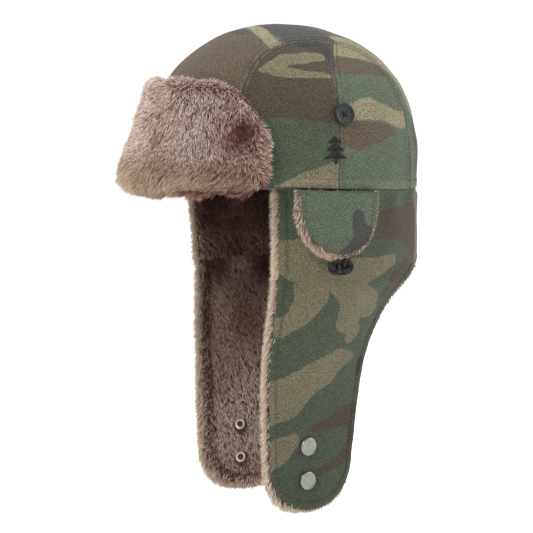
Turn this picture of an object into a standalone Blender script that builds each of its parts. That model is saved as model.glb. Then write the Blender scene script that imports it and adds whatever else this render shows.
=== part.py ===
"""Trapper hat, modelled as its cut and sewn pieces.

Metres, +Z up, the wearer's face toward -Y and the wearer's left side at +X. The origin is the
centre of the head opening. The crown is worn tipped back a little, so its pieces are modelled
level and hang under an empty that is tilted; the ear flaps hang straight down.
"""
import math

import bmesh
import bpy
import numpy as np
from mathutils import Matrix, Vector

# Head opening and crown
HALF_LENGTH = 0.1165          # hem ellipse, front to back
HALF_WIDTH = 0.088            # hem ellipse, side to side
CROWN_HEIGHT = 0.126
DOME_POWER = 2.8              # fullness of the crown's shoulders
TIP_BACK = math.radians(3.3)
SHELL = 0.0016                # twill with its backing
LINING_GAP = 0.0008
LINING = 0.006                # quilted crown lining
HEM_CLEARANCE = 0.0003

# Crown panels: a strip over the top, and two panels on each side
STRIP_HALF = 0.0435
HEM_SEAM_X = HALF_WIDTH * math.sin(math.radians(46))
SEAM_BLEND = 8                # how sharply the strip stops narrowing
SEAM_GAP = 0.0004             # half the gap between two panels
SIDE_SEAM = math.radians(90)  # hem end of the side seam
SIDE_SEAM_LEAN = math.radians(15)
SIDE_SEAM_BEND = 2.7          # how late the side seam starts to lean back
SIDE_SEAM_END = 0.505         # ring on which the side seam runs out into the strip's seam

# Ear and neck cover, sewn into the hem
COVER_START = math.radians(64.4)
COVER_CORNER = math.radians(134)   # where the ear's part turns into the nape
COVER_INSET = 0.001
COVER_DROP = 0.0015           # top of the cover below the crown's hem
NAPE_HALF_WIDTH = 0.0806
NAPE_HALF_LENGTH = 0.1195
NAPE_EDGE = -0.0655
FOLD_Z = -0.077               # level of the fold across each ear flap
FOLD_GAP = 0.004              # half the room left for the fold
FUR = 0.0075
FUR_GAP = 0.0006
FUR_START = 0.10              # share of the cover's drop at which its fur starts
FUR_BORDER = 0.003            # fur shown past the shell's front and bottom edges

# Ear flap outline: level, then the front edge and the rear edge as (across, along)
FLAP_EDGES = (
    (-0.077, (0.0683, -0.0424), (0.0580, 0.0830)),
    (-0.096, (0.0664, -0.0435), (0.0565, 0.0670)),
    (-0.115, (0.0640, -0.0448), (0.0550, 0.0555)),
    (-0.137, (0.0616, -0.0457), (0.0530, 0.0470)),
    (-0.174, (0.0602, -0.0456), (0.0510, 0.0420)),
    (-0.215, (0.0592, -0.0440), (0.0495, 0.0370)),
    (-0.257, (0.0580, -0.0420), (0.0490, 0.0340)),
)
FLAP_BULGE = ((-0.077, 0.016), (-0.115, 0.010), (-0.174, 0.004), (-0.257, 0.002))
FLAP_END = -0.257
FLAP_ROUND = 0.036            # length of the rounded end
EAR_HINGE_OFFSET = 0.027      # fold axis outboard of the flap's chord

# Vent flap over each ear, in the level frame of the crown
VENT_HALF_WIDTH = 0.037
VENT_LENGTH = 0.0525
VENT_STANDOFF = 0.005
VENT_TOP = -0.0015
VENT_SHELL = 0.0014
VENT_FUR = 0.0036
VENT_LEAN = 0.003             # the tip hangs this far to the rear of the top
VENT_HINGE = (0.094, 0.0, 0.001)
PORT_CENTRE = (0.0, -0.030)   # ear opening under the vent flap: along, level
PORT_HALF = (0.022, 0.016)
LOOP_DIAMETER = 0.0022
LOOP_HALF = 0.0100            # half the width of the elastic loop
LOOP_DROP = 0.0085
LOOP_GAP = 0.0018             # loop's ends below the vent flap's fur

# Button and motif on the side of the crown
BUTTON_PLACE = (0.0035, 0.0570)
BUTTON_RADIUS = 0.009
BUTTON_HOLE = 0.0010
BUTTON_HOLE_SPACING = 0.0021
MOTIF_PLACE = (-0.0040, 0.0300)

# Brow flap, folded up against the front of the crown
BROW_HALF_ANGLE = math.radians(62.5)
BROW_END = 0.985              # share of the half angle at which its side is closed
BROW_TOP = 0.080
BROW_BOTTOM = -0.012
BROW_SHELL_GAP = 0.001
BROW_FUR_FROM = 0.0045
BROW_FUR_TO = 0.019
BROW_WAIST = 0.0085           # how much thinner the fur lies half way up
BROW_RISE = 0.005             # how much higher its lower edge is at the temples
BROW_LIP = -0.007             # how far its lower roll reaches in under the hem
BROW_CORNER = 0.0055          # height of the rounding along its upper edge
BROW_FOOT = 0.008             # height of the rounding along its lower edge
TACK_ANGLE = math.radians(50)
TACK_LEVEL = 0.043
TACK_RADIUS, TACK_LENGTH = 0.0014, 0.0040
TACK_PIT_RADIUS, TACK_PIT_DEPTH = 0.0030, 0.024

# Snap fasteners near the end of each ear flap
SNAP_LEVELS = (("upper", -0.206), ("lower", -0.2336))
SNAP_ALONG = -0.009
SNAP_STEPS = 16
POST_RADIUS = 0.0018


def clear_scene():
    for item in list(bpy.data.objects):
        bpy.data.objects.remove(item, do_unlink=True)


def make_collection(name):
    collection = bpy.data.collections.new(name)
    bpy.context.scene.collection.children.link(collection)
    return collection


def make_material(name, colour, roughness, metallic=0.0):
    material = bpy.data.materials.new(name)
    material.use_nodes = True
    shader = material.node_tree.nodes["Principled BSDF"]
    shader.inputs["Base Color"].default_value = (*colour, 1.0)
    shader.inputs["Roughness"].default_value = roughness
    shader.inputs["Metallic"].default_value = metallic
    material.diffuse_color = (*colour, 1.0)
    return material


clear_scene()
HAT = make_collection("trapper_hat")
CUTTERS = make_collection("cutters")

GREEN_TWILL = ((0.117, 0.150, 0.101), 0.85)
BROWN_TWILL = ((0.125, 0.100, 0.078), 0.85)
BROW_FUR = ((0.340, 0.240, 0.185), 0.95)
DARK_FUR = ((0.090, 0.055, 0.043), 0.95)
PALE_FUR = ((0.350, 0.283, 0.227), 0.95)
QUILT = ((0.030, 0.030, 0.032), 0.60)
THREAD = ((0.035, 0.025, 0.022), 0.80)
BLACK_PLASTIC = ((0.030, 0.031, 0.033), 0.35)
BLACK_ELASTIC = ((0.010, 0.010, 0.011), 0.70)
NICKEL = ((0.550, 0.545, 0.520), 0.32, 1.0)


def add_object(name, mesh, finish, parent=None, collection=HAT):
    """Link a mesh as one named piece; its parent's own frame is the one it is modelled in."""
    item = bpy.data.objects.new(name, mesh)
    collection.objects.link(item)
    if finish is not None:
        mesh.materials.append(make_material(name + "_finish", *finish))
    mesh.shade_smooth()
    mesh.set_sharp_from_angle(angle=math.radians(35))
    item.parent = parent
    return item


def add_cutter(item):
    for collection in list(item.users_collection):
        collection.objects.unlink(item)
    CUTTERS.objects.link(item)
    item.hide_render = True
    item.display_type = "WIRE"


def cut(item, cutter, operation="DIFFERENCE"):
    modifier = item.modifiers.new(operation.title() + " " + cutter.name, "BOOLEAN")
    modifier.operation = operation
    modifier.object = cutter
    modifier.solver = "EXACT"


def add_empty(name, place, parent=None):
    empty = bpy.data.objects.new(name, None)
    empty.empty_display_size = 0.02
    empty.location = place
    empty.parent = parent
    HAT.objects.link(empty)
    return empty


def hang_on(item, hinge):
    """Parent a piece to its hinge's empty without moving it."""
    item.parent = hinge
    item.matrix_parent_inverse = Matrix.Translation(-Vector(hinge.location))


def smooth_step(value):
    value = min(max(value, 0.0), 1.0)
    return value * value * (3.0 - 2.0 * value)


def curve_value(levels, values, level):
    """Smooth curve through values given at falling levels (a cubic with Catmull-Rom slopes)."""
    rising = np.array(levels[::-1])
    data = np.array(values[::-1])
    slopes = np.gradient(data, rising)
    level = min(max(level, rising[0]), rising[-1])
    i = min(int(np.searchsorted(rising, level, side="right")) - 1, len(rising) - 2)
    span = rising[i + 1] - rising[i]
    s = (level - rising[i]) / span
    return float((1 + 2 * s) * (1 - s) ** 2 * data[i] + s * (1 - s) ** 2 * span * slopes[i]
                 + s * s * (3 - 2 * s) * data[i + 1] - s * s * (1 - s) * span * slopes[i + 1])


def grid_mesh(name, rows, flip=False):
    """Quads over rows of points, with the front of each face toward the viewer who sees
    the rows run down and the points in a row run to the right."""
    mesh = bpy.data.meshes.new(name)
    build = bmesh.new()
    points = [[build.verts.new(place) for place in row] for row in rows]
    for upper, lower in zip(points, points[1:]):
        for i in range(len(upper) - 1):
            corners = [upper[i], lower[i], lower[i + 1], upper[i + 1]]
            build.faces.new(corners[::-1] if flip else corners)
    build.to_mesh(mesh)
    build.free()
    return mesh


def shifted(rows, distance, flip=False):
    """The same grid moved along its own normals, outward for a positive distance."""
    grid = np.array(rows)
    normals = np.cross(np.gradient(grid, axis=0), np.gradient(grid, axis=1))
    normals /= np.linalg.norm(normals, axis=2)[:, :, None]
    return grid + normals * (-distance if flip else distance)


def add_sheet(name, rows, thickness, finish, parent=None, flip=False):
    """A cloth piece: the grid is its outer face and Solidify gives the thickness inward."""
    item = add_object(name, grid_mesh(name, rows, flip), finish, parent)
    solid = item.modifiers.new("Thickness", "SOLIDIFY")
    solid.thickness = thickness
    solid.offset = -1.0
    return item


def mirrored(rows, side):
    return [[(side * x, y, z) for x, y, z in row] for row in rows]


def add_turned(name, profile, steps, finish, parent=None, ring=False):
    """A turned piece about its own Z: the profile runs down its outer side."""
    mesh = bpy.data.meshes.new(name)
    edges = [(i, i + 1) for i in range(len(profile) - 1)]
    if ring:
        edges.append((len(profile) - 1, 0))
    mesh.from_pydata([(radius, 0.0, level) for radius, level in profile], edges, [])
    item = add_object(name, mesh, finish, parent)
    screw = item.modifiers.new("Turn", "SCREW")
    screw.steps = steps
    screw.render_steps = steps
    screw.use_merge_vertices = True
    screw.merge_threshold = 0.00001
    return item


def aim(item, place, normal):
    """Stand a piece at a place with its own Z along the surface's normal."""
    item.location = place
    item.rotation_euler = Vector(normal).to_track_quat("Z", "Y").to_euler()


def add_cylinder(name, radius, depth, place, normal, sides=16, parent=None):
    mesh = bpy.data.meshes.new(name)
    build = bmesh.new()
    bmesh.ops.create_cone(build, cap_ends=True, segments=sides, radius1=radius,
                          radius2=radius, depth=depth)
    build.to_mesh(mesh)
    build.free()
    item = add_object(name, mesh, None, parent)
    aim(item, place, normal)
    return item


# ---------------------------------------------------------------- crown

def dome_level(ring):
    return CROWN_HEIGHT * (1.0 - ring * ring) ** (1.0 / DOME_POWER)


def dome_point(angle, ring, out=0.0):
    """Point of the crown on the ring of that share of the hem, at an angle from the front."""
    return ((HALF_WIDTH + out) * ring * math.sin(angle),
            -(HALF_LENGTH + out) * ring * math.cos(angle),
            dome_level(ring) * (1.0 + out / CROWN_HEIGHT))


def dome_ring(level):
    return math.sqrt(max(1.0 - (level / CROWN_HEIGHT) ** DOME_POWER, 0.0))


def dome_side(along, level):
    """Left side of the crown at a place along it: the point and its outward normal."""
    ring = dome_ring(level)
    x = HALF_WIDTH * math.sqrt(ring ** 2 - (along / HALF_LENGTH) ** 2)
    slope = DOME_POWER * (level / CROWN_HEIGHT) ** (DOME_POWER - 1) / CROWN_HEIGHT
    normal = Vector((2 * x / HALF_WIDTH ** 2, 2 * along / HALF_LENGTH ** 2, slope))
    return Vector((x, along, level)), normal.normalized()


def strip_edge(ring, inset):
    """Half width of the top strip where it crosses a ring."""
    wide = (HEM_SEAM_X - inset) * ring
    return (wide ** SEAM_BLEND + (STRIP_HALF - inset) ** SEAM_BLEND) ** (1.0 / SEAM_BLEND)


def make_top_strip(tilt):
    """The strip from the front hem over the top to the back hem."""
    columns, half_rows = 8, 12
    sweep = [math.pi / 2 * (i / half_rows) ** 1.4 for i in range(half_rows + 1)]
    sweep += [math.pi - angle for angle in sweep[-2::-1]]
    rows = []
    for angle in sweep:
        edge = STRIP_HALF
        for _ in range(40):
            narrow = 1.0 - (edge / HALF_WIDTH) ** 2
            edge = strip_edge(math.sqrt(1.0 - narrow * math.sin(angle) ** 2), SEAM_GAP)
        row = []
        for column in range(columns + 1):
            x = edge * (2.0 * column / columns - 1.0)
            reach = math.sqrt(1.0 - (x / HALF_WIDTH) ** 2)
            level = CROWN_HEIGHT * (reach * math.sin(angle)) ** (2.0 / DOME_POWER)
            row.append((x, -HALF_LENGTH * reach * math.cos(angle), level + HEM_CLEARANCE))
        rows.append(row)
    add_sheet("crown_top_strip", rows, SHELL, GREEN_TWILL, tilt, flip=True)


def side_seam(ring):
    return SIDE_SEAM + SIDE_SEAM_LEAN * ((1.0 - ring) / (1.0 - SIDE_SEAM_END)) ** SIDE_SEAM_BEND


def make_side_panels(tilt):
    """Front and back panel on each side, under the strip's two long seams."""
    wide, narrow = HALF_WIDTH ** SEAM_BLEND, (HEM_SEAM_X + SEAM_GAP) ** SEAM_BLEND
    arch_ring = (STRIP_HALF + SEAM_GAP) / (wide - narrow) ** (1.0 / SEAM_BLEND)
    columns, row_count = 6, 11
    for part, top_ring, finish in (("front", arch_ring + 0.003, BROWN_TWILL),
                                   ("back", SIDE_SEAM_END + 0.022, GREEN_TWILL)):
        rows = []
        for j in range(row_count + 1):
            level = dome_level(top_ring) * math.cos(math.pi / 2 * j / row_count)
            ring = dome_ring(level)
            front = math.asin(min(strip_edge(ring, -SEAM_GAP) / (HALF_WIDTH * ring), 1.0))
            back = math.pi - front
            gap = SEAM_GAP / (HALF_LENGTH * ring)
            if part == "front":
                start, end = front, back
                if ring > SIDE_SEAM_END:
                    end = min(side_seam(ring) - gap, back)
            else:
                start, end = side_seam(ring) + gap, back
            row = []
            for column in range(columns + 1):
                x, y, z = dome_point(start + (end - start) * column / columns, ring)
                row.append((x, y, z + HEM_CLEARANCE))
            rows.append(row)
        for side, label in ((1, "left"), (-1, "right")):
            add_sheet(label + "_" + part + "_side_panel", mirrored(rows, side), SHELL, finish,
                      tilt, flip=side < 0)


def make_crown_lining(tilt):
    """Quilted lining: a closed dome inside the panels, open at the hem."""
    columns, row_count = 32, 9
    inset = -(SHELL + LINING_GAP)
    rows = []
    for j in range(row_count):
        lift = math.pi / 2 * (1.0 - j / row_count) ** 1.25
        ring = max(math.cos(lift), 0.0)
        rows.append([dome_point(-2 * math.pi * i / columns, ring, inset)
                     for i in range(columns)])
    rows.append([(x, y, HEM_CLEARANCE) for x, y, _ in
                 [dome_point(-2 * math.pi * i / columns, 1.0, inset) for i in range(columns)]])
    mesh = bpy.data.meshes.new("crown_lining")
    build = bmesh.new()
    pole = build.verts.new((0.0, 0.0, CROWN_HEIGHT + inset))
    loops = [[build.verts.new(place) for place in row] for row in rows[1:]]
    for i in range(columns):
        after = (i + 1) % columns
        build.faces.new((pole, loops[0][after], loops[0][i]))
        for upper, lower in zip(loops, loops[1:]):
            build.faces.new((upper[i], upper[after], lower[after], lower[i]))
    build.to_mesh(mesh)
    build.free()
    item = add_object("crown_lining", mesh, QUILT, tilt)
    solid = item.modifiers.new("Thickness", "SOLIDIFY")
    solid.thickness = LINING
    solid.offset = -1.0


# ---------------------------------------------------------------- ear and neck cover

def tipped(point):
    """A point of the level crown in the hat's own frame."""
    return Matrix.Rotation(-TIP_BACK, 3, "X") @ Vector(point)


def flap_edge(level, rear):
    levels = [row[0] for row in FLAP_EDGES]
    across = curve_value(levels, [row[2 if rear else 1][0] for row in FLAP_EDGES], level)
    along = curve_value(levels, [row[2 if rear else 1][1] for row in FLAP_EDGES], level)
    return across, along


def flap_across(along, level):
    """How far out the left ear flap's cloth lies, at a place along it and a level."""
    front, rear = flap_edge(level, False), flap_edge(level, True)
    share = (along - front[1]) / (rear[1] - front[1])
    bulge = curve_value([row[0] for row in FLAP_BULGE], [row[1] for row in FLAP_BULGE], level)
    return front[0] + (rear[0] - front[0]) * share + bulge * 4.0 * share * (1.0 - share)


def cover_edge(angle):
    """Lower edge of the cover: straight at the fold, then round the nape."""
    if angle <= COVER_CORNER:
        front, rear = flap_edge(FOLD_Z, False), flap_edge(FOLD_Z, True)
        share = (angle - COVER_START) / (COVER_CORNER - COVER_START)
        along = front[1] + (rear[1] - front[1]) * share
        return Vector((flap_across(along, FOLD_Z), along, FOLD_Z + FOLD_GAP))
    rise = smooth_step((angle - COVER_CORNER) / math.radians(18))
    level = (FOLD_Z + FOLD_GAP) * (1.0 - rise) + NAPE_EDGE * rise
    return Vector((NAPE_HALF_WIDTH * math.sin(angle), -NAPE_HALF_LENGTH * math.cos(angle), level))


def cover_rows(first_angle, start, row_count=6, columns=34):
    """The cover from the left ear round the nape, and from a share of its drop to its edge."""
    rows = [[] for _ in range(row_count + 1)]
    for i in range(columns + 1):
        angle = first_angle + 2.0 * (math.pi - first_angle) * i / columns
        side = 1.0 if angle <= math.pi else -1.0
        half = min(angle, 2.0 * math.pi - angle)
        top = tipped(((HALF_WIDTH - COVER_INSET) * math.sin(half),
                      -(HALF_LENGTH - COVER_INSET) * math.cos(half), -COVER_DROP))
        low = cover_edge(half)
        wrap = smooth_step((half - COVER_START) / math.radians(18))
        tuck = 0.25 + 0.75 * wrap
        first = start * (1.0 - 0.75 * wrap)
        for j in range(row_count + 1):
            drop = first + (1.0 - first) * j / row_count
            move = drop ** tuck
            rows[j].append((side * (top.x + (low.x - top.x) * move),
                            top.y + (low.y - top.y) * move,
                            top.z + (low.z - top.z) * drop))
    return rows


def make_cover():
    shell_rows = cover_rows(COVER_START, 0.0)
    shell = add_sheet("ear_neck_cover_shell", shell_rows, SHELL, GREEN_TWILL)
    fur_rows = cover_rows(COVER_START - math.radians(1.2), FUR_START)
    fur_rows = shifted(fur_rows, -(SHELL + FUR_GAP))
    fur = add_sheet("ear_neck_cover_fur", fur_rows, FUR, DARK_FUR)
    along, level = PORT_CENTRE
    for side, label in ((1, "left"), (-1, "right")):
        port = add_cylinder("cut_" + label + "_ear_port", 1.0, 0.05,
                            (side * 0.080, along, level), (1, 0, 0), sides=24)
        port.data.transform(Matrix.Diagonal((PORT_HALF[1], PORT_HALF[0], 1.0, 1.0)))
        port.rotation_euler = (0.0, math.pi / 2, 0.0)
        add_cutter(port)
        cut(shell, port)
        cut(fur, port)


# ---------------------------------------------------------------- ear flaps

def flap_rows(border, top, row_count=14, columns=8):
    """The lower ear flap from its fold to its rounded end, grown by a border."""
    rows = []
    bottom = FLAP_END - border
    for j in range(row_count + 1):
        level = top + (bottom - top) * math.sin(math.pi / 2 * j / row_count)
        on_cloth = max(level, FLAP_END)
        front, rear = flap_edge(on_cloth, False)[1] - border, flap_edge(on_cloth, True)[1]
        rounding = (bottom + FLAP_ROUND - level) / FLAP_ROUND
        width = (1.0 - max(rounding, 0.0) ** 2.4) ** (1.0 / 2.2) if rounding < 1.0 else 0.0
        middle = 0.5 * (front + rear)
        half = max(0.5 * (rear - front) * width, 0.006)
        row = []
        for i in range(columns + 1):
            along = middle + half * (2.0 * i / columns - 1.0)
            row.append((flap_across(along, on_cloth), along, level))
        rows.append(row)
    return rows


def flap_normal(along, level):
    step = 0.002
    across = (flap_across(along + step, level) - flap_across(along - step, level)) / (2 * step)
    down = (flap_across(along, level + step) - flap_across(along, level - step)) / (2 * step)
    return Vector((1.0, -across, -down)).normalized()


def ear_hinge_place():
    front, rear = flap_edge(FOLD_Z, False), flap_edge(FOLD_Z, True)
    chord = Vector((rear[0] - front[0], rear[1] - front[1]))
    outward = Vector((chord.y, -chord.x)).normalized()
    middle = Vector((0.5 * (front[0] + rear[0]), 0.5 * (front[1] + rear[1])))
    place = middle + outward * EAR_HINGE_OFFSET
    return Vector((place.x, place.y, FOLD_Z))


def snap_profiles():
    """Profiles of the four kinds of snap part, from their outer face down."""
    cap = [(0, 0.0024), (0.0045, 0.0022), (0.0066, 0.0016), (0.0075, 0.0008), (0.0075, 0.0003),
           (POST_RADIUS, 0.0003), (POST_RADIUS, -0.0021), (0, -0.0021)]
    stud = [(0, 0.0042), (0.0018, 0.0042), (0.0023, 0.0035), (0.0019, 0.0020),
            (0.0024, 0.0013), (0.0055, 0.0012), (0.0060, 0.0003),
            (POST_RADIUS, 0.0003), (POST_RADIUS, -0.0021), (0, -0.0021)]
    socket = [(0, -0.0024), (0.0055, -0.0024), (0.0060, -0.0030), (0.0055, -0.0050),
              (0.0040, -0.0056), (0.0026, -0.0056), (0.0026, -0.0034), (0, -0.0034)]
    eyelet = [(0.0016, -0.0024), (0.0045, -0.0024), (0.0050, -0.0030), (0.0046, -0.0040),
              (0.0030, -0.0044), (0.0016, -0.0036)]
    return cap, stud, socket, eyelet


def make_ear_flap(side, label):
    place = ear_hinge_place()
    hinge = add_empty(label + "_ear_hinge", (side * place.x, place.y, place.z))
    top = FOLD_Z - FOLD_GAP
    flip = side < 0
    shell_rows = mirrored(flap_rows(0.0, top), side)
    fur_rows = shifted(mirrored(flap_rows(FUR_BORDER, top), side), -(SHELL + FUR_GAP), flip)
    shell = add_sheet(label + "_ear_flap_shell", shell_rows, SHELL, GREEN_TWILL, flip=flip)
    fur = add_sheet(label + "_ear_flap_fur", fur_rows, FUR, DARK_FUR, flip=flip)
    cap, stud, socket, eyelet = snap_profiles()
    pieces = [shell, fur]
    for level_name, level in SNAP_LEVELS:
        across = flap_across(SNAP_ALONG, level)
        normal = flap_normal(SNAP_ALONG, level)
        centre = Vector((side * across, SNAP_ALONG, level))
        normal.x *= side
        hole = add_cylinder("cut_" + label + "_" + level_name + "_post", POST_RADIUS + 0.0003,
                            0.006, centre, normal)
        pocket = add_cylinder("cut_" + label + "_" + level_name + "_pocket", 0.0065, 0.020,
                              centre - normal * (SHELL + 0.0104), normal, sides=20)
        for cutter, target in ((hole, shell), (pocket, fur)):
            add_cutter(cutter)
            cut(target, cutter)
        if side > 0:
            kinds = (("snap_cap", cap, False), ("snap_socket", socket, False))
        else:
            kinds = (("snap_stud", stud, False), ("snap_eyelet", eyelet, True))
        for kind, profile, ring in kinds:
            piece = add_turned("_".join((label, level_name, kind)), profile, SNAP_STEPS,
                               NICKEL, ring=ring)
            aim(piece, centre, normal)
            pieces.append(piece)
    for piece in pieces:
        hang_on(piece, hinge)


# ---------------------------------------------------------------- vent flaps

def vent_rows(border, out, row_count=8, columns=6):
    """The small flap over the ear: its top follows the hem, and its end is round."""
    rows = []
    length = VENT_LENGTH + border
    for j in range(row_count + 1):
        drop = math.sin(math.pi / 2 * j / row_count)
        level = VENT_TOP - (length + VENT_TOP) * drop
        share = min(-level / length, 1.0)
        half = (VENT_HALF_WIDTH + border) * (1.0 - share ** 2.8) ** (1.0 / 2.1)
        half = max(half, 0.004)
        row = []
        for i in range(columns + 1):
            along = half * (2.0 * i / columns - 1.0)
            hem = HALF_WIDTH * math.sqrt(1.0 - (along / HALF_LENGTH) ** 2)
            row.append((hem + VENT_STANDOFF + out, along + VENT_LEAN * share, level))
        rows.append(row)
    return rows


def make_vent_loop(name, side, hinge):
    """Elastic cord that leaves the flap's tip and returns to it."""
    curve = bpy.data.curves.new(name, "CURVE")
    curve.dimensions = "3D"
    curve.bevel_depth = LOOP_DIAMETER / 2
    curve.bevel_resolution = 2
    curve.use_fill_caps = True
    spline = curve.splines.new("POLY")
    across = HALF_WIDTH + VENT_STANDOFF - VENT_SHELL - 0.0010
    top = -VENT_LENGTH - FUR_BORDER - LOOP_GAP
    steps = 12
    spline.points.add(steps)
    for i in range(steps + 1):
        turn = math.pi * i / steps
        bulge = 1.0 + 0.25 * math.sin(turn)
        along = VENT_LEAN + 0.0015 - LOOP_HALF * math.cos(turn) * bulge
        spline.points[i].co = (side * across, along, top - LOOP_DROP * math.sin(turn) ** 0.8, 1.0)
    item = bpy.data.objects.new(name, curve)
    HAT.objects.link(item)
    curve.materials.append(make_material(name + "_finish", *BLACK_ELASTIC))
    hang_on(item, hinge)


def make_vent_flap(side, label, tilt):
    x, y, z = VENT_HINGE
    hinge = add_empty(label + "_vent_hinge", (side * x, y, z), tilt)
    flip = side < 0
    shell = add_sheet(label + "_vent_flap_shell", mirrored(vent_rows(0.0, 0.0), side),
                      VENT_SHELL, GREEN_TWILL, flip=flip)
    inner = -(VENT_SHELL + 0.0003)
    fur = add_sheet(label + "_vent_flap_fur", mirrored(vent_rows(0.0025, inner), side),
                    VENT_FUR, PALE_FUR, flip=flip)
    for piece in (shell, fur):
        hang_on(piece, hinge)
    make_vent_loop(label + "_vent_loop", side, hinge)


# ---------------------------------------------------------------- buttons and motif

def make_button(side, label, tilt):
    """Four-hole button with a raised rim, and the thread that holds it."""
    place, normal = dome_side(*BUTTON_PLACE)
    place.x *= side
    normal.x *= side
    radius = BUTTON_RADIUS
    profile = [(0, 0.0030), (0.0050, 0.0030), (0.0064, 0.0036), (0.0078, 0.0042),
               (0.0087, 0.0036), (radius, 0.0026), (0.0082, 0.0016), (0, 0.0014)]
    button = add_turned(label + "_button", profile, 20, BLACK_PLASTIC, tilt)
    aim(button, place, normal)
    thread = add_cylinder(label + "_button_thread", 0.0030, 0.0006, place + normal * 0.0008,
                          normal, sides=12, parent=tilt)
    thread.data.materials.append(make_material(label + "_button_thread_finish", *THREAD))
    turn = button.rotation_euler.to_matrix()
    for i in range(4):
        corner = math.pi / 4 + math.pi / 2 * i
        offset = Vector((math.cos(corner), math.sin(corner), 0.0)) * BUTTON_HOLE_SPACING
        axis = place + turn @ offset
        hole = add_cylinder("cut_%s_button_hole_%d" % (label, i), BUTTON_HOLE, 0.008,
                            axis + normal * 0.002, normal, sides=8, parent=tilt)
        add_cutter(hole)
        cut(button, hole)
        leg = add_cylinder("join_%s_thread_leg_%d" % (label, i), 0.0005, 0.0029,
                           axis + normal * 0.0022, normal, sides=6, parent=tilt)
        add_cutter(leg)
        cut(thread, leg, "UNION")
    for i in range(2):
        corner = math.pi / 4 + math.pi / 2 * i
        along = turn @ Vector((math.cos(corner), math.sin(corner), 0.0))
        bar = add_cylinder("join_%s_thread_bar_%d" % (label, i), 0.0005,
                           2 * BUTTON_HOLE_SPACING + 0.0010, place + normal * 0.0037, along,
                           sides=6, parent=tilt)
        add_cutter(bar)
        cut(thread, bar, "UNION")


def make_motif(tilt):
    """Embroidered fir tree on the left side: three tiers and a trunk."""
    place, normal = dome_side(*MOTIF_PLACE)
    tiers, half_width, height = 3, 0.0100, 0.0220
    outline = [(0.0, height / 2)]
    for tier in range(tiers):
        low = height / 2 - height * 0.82 * (tier + 1) / tiers
        reach = half_width * (0.55 + 0.45 * tier / (tiers - 1))
        outline.append((reach, low))
        outline.append((reach * 0.42 if tier < tiers - 1 else 0.0014, low + 0.0008))
    outline.append((0.0014, -height / 2))
    outline += [(-x, z) for x, z in outline[:0:-1]]
    curve = bpy.data.curves.new("side_motif", "CURVE")
    curve.dimensions = "2D"
    curve.fill_mode = "BOTH"
    curve.extrude = 0.0004
    spline = curve.splines.new("POLY")
    spline.use_cyclic_u = True
    spline.points.add(len(outline) - 1)
    for point, (x, z) in zip(spline.points, outline):
        point.co = (x, z, 0.0, 1.0)
    item = bpy.data.objects.new("side_motif", curve)
    HAT.objects.link(item)
    curve.materials.append(make_material("side_motif_finish", *THREAD))
    item.parent = tilt
    upright = Vector((0.0, 0.0, 1.0))
    rise = (upright - normal * upright.dot(normal)).normalized()
    across = rise.cross(normal)
    frame = Matrix((across, rise, normal)).transposed()
    item.location = place + normal * 0.0011
    item.rotation_euler = frame.to_euler()


# ---------------------------------------------------------------- brow flap

def brow_top(angle, low, high):
    share = min(abs(angle) / BROW_HALF_ANGLE, 1.0)
    return low + (high - low) * math.sqrt(max(1.0 - share ** 6, 0.0))


def brow_reach(level):
    """How far out of the crown the fur's face is: thick below, thin above, full on top."""
    waist = smooth_step((level - 0.004) / 0.034)
    return BROW_FUR_TO - BROW_WAIST * waist * (1.0 - 0.60 * smooth_step((level - 0.058) / 0.018))


def brow_point(angle, level, out):
    """A point in front of the crown: above the hem it follows the dome."""
    ring = dome_ring(max(level, 0.0))
    x = (HALF_WIDTH * ring + out) * math.sin(angle)
    y = -(HALF_LENGTH * ring + out) * math.cos(angle)
    return (x, y, level)


def make_brow_shell(tilt):
    """The flap's twill side, which faces the crown when the flap is up."""
    columns, row_count = 18, 8
    rows = [[] for _ in range(row_count + 1)]
    limit = BROW_HALF_ANGLE * BROW_END
    for i in range(columns + 1):
        angle = limit * (2.0 * i / columns - 1.0)
        top = brow_top(angle, 0.0, BROW_TOP - 0.004)
        for j in range(row_count + 1):
            level = 0.002 + (top - 0.002) * (1.0 - j / row_count)
            rows[j].append(brow_point(angle, level, BROW_SHELL_GAP + SHELL))
    add_sheet("brow_flap_shell", rows, SHELL - 0.0003, BROWN_TWILL, tilt)


def brow_section(angle):
    """Section of the fur pad: up the back, over the top, down the front, in under the hem."""
    bottom = BROW_BOTTOM + BROW_RISE * (angle / BROW_HALF_ANGLE) ** 2
    top = brow_top(angle, bottom, BROW_TOP)
    cap = min(BROW_CORNER, 0.4 * (top - bottom))
    reach = brow_reach(top - cap)
    middle, half = 0.5 * (reach + BROW_FUR_FROM), 0.5 * (reach - BROW_FUR_FROM)
    points = [(BROW_LIP, -0.0010), (BROW_FUR_FROM, -0.0010)]
    climb = 6
    for j in range(1, climb + 1):
        points.append((BROW_FUR_FROM, -0.0010 + (top - cap + 0.0010) * j / climb))
    for j in range(1, 6):
        turn = math.pi * j / 6
        points.append((middle - half * math.cos(turn), top - cap + cap * math.sin(turn)))
    for j in range(climb + 1):
        level = top - cap - (top - cap - bottom - BROW_FOOT) * j / climb
        points.append((brow_reach(level), level))
    points += [(BROW_FUR_TO - 0.003, bottom + 0.003), (BROW_FUR_TO - 0.009, bottom),
               (BROW_LIP + 0.003, bottom + 0.001), (BROW_LIP, bottom + 0.005)]
    return [brow_point(angle, level, out) for out, level in points]


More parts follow.
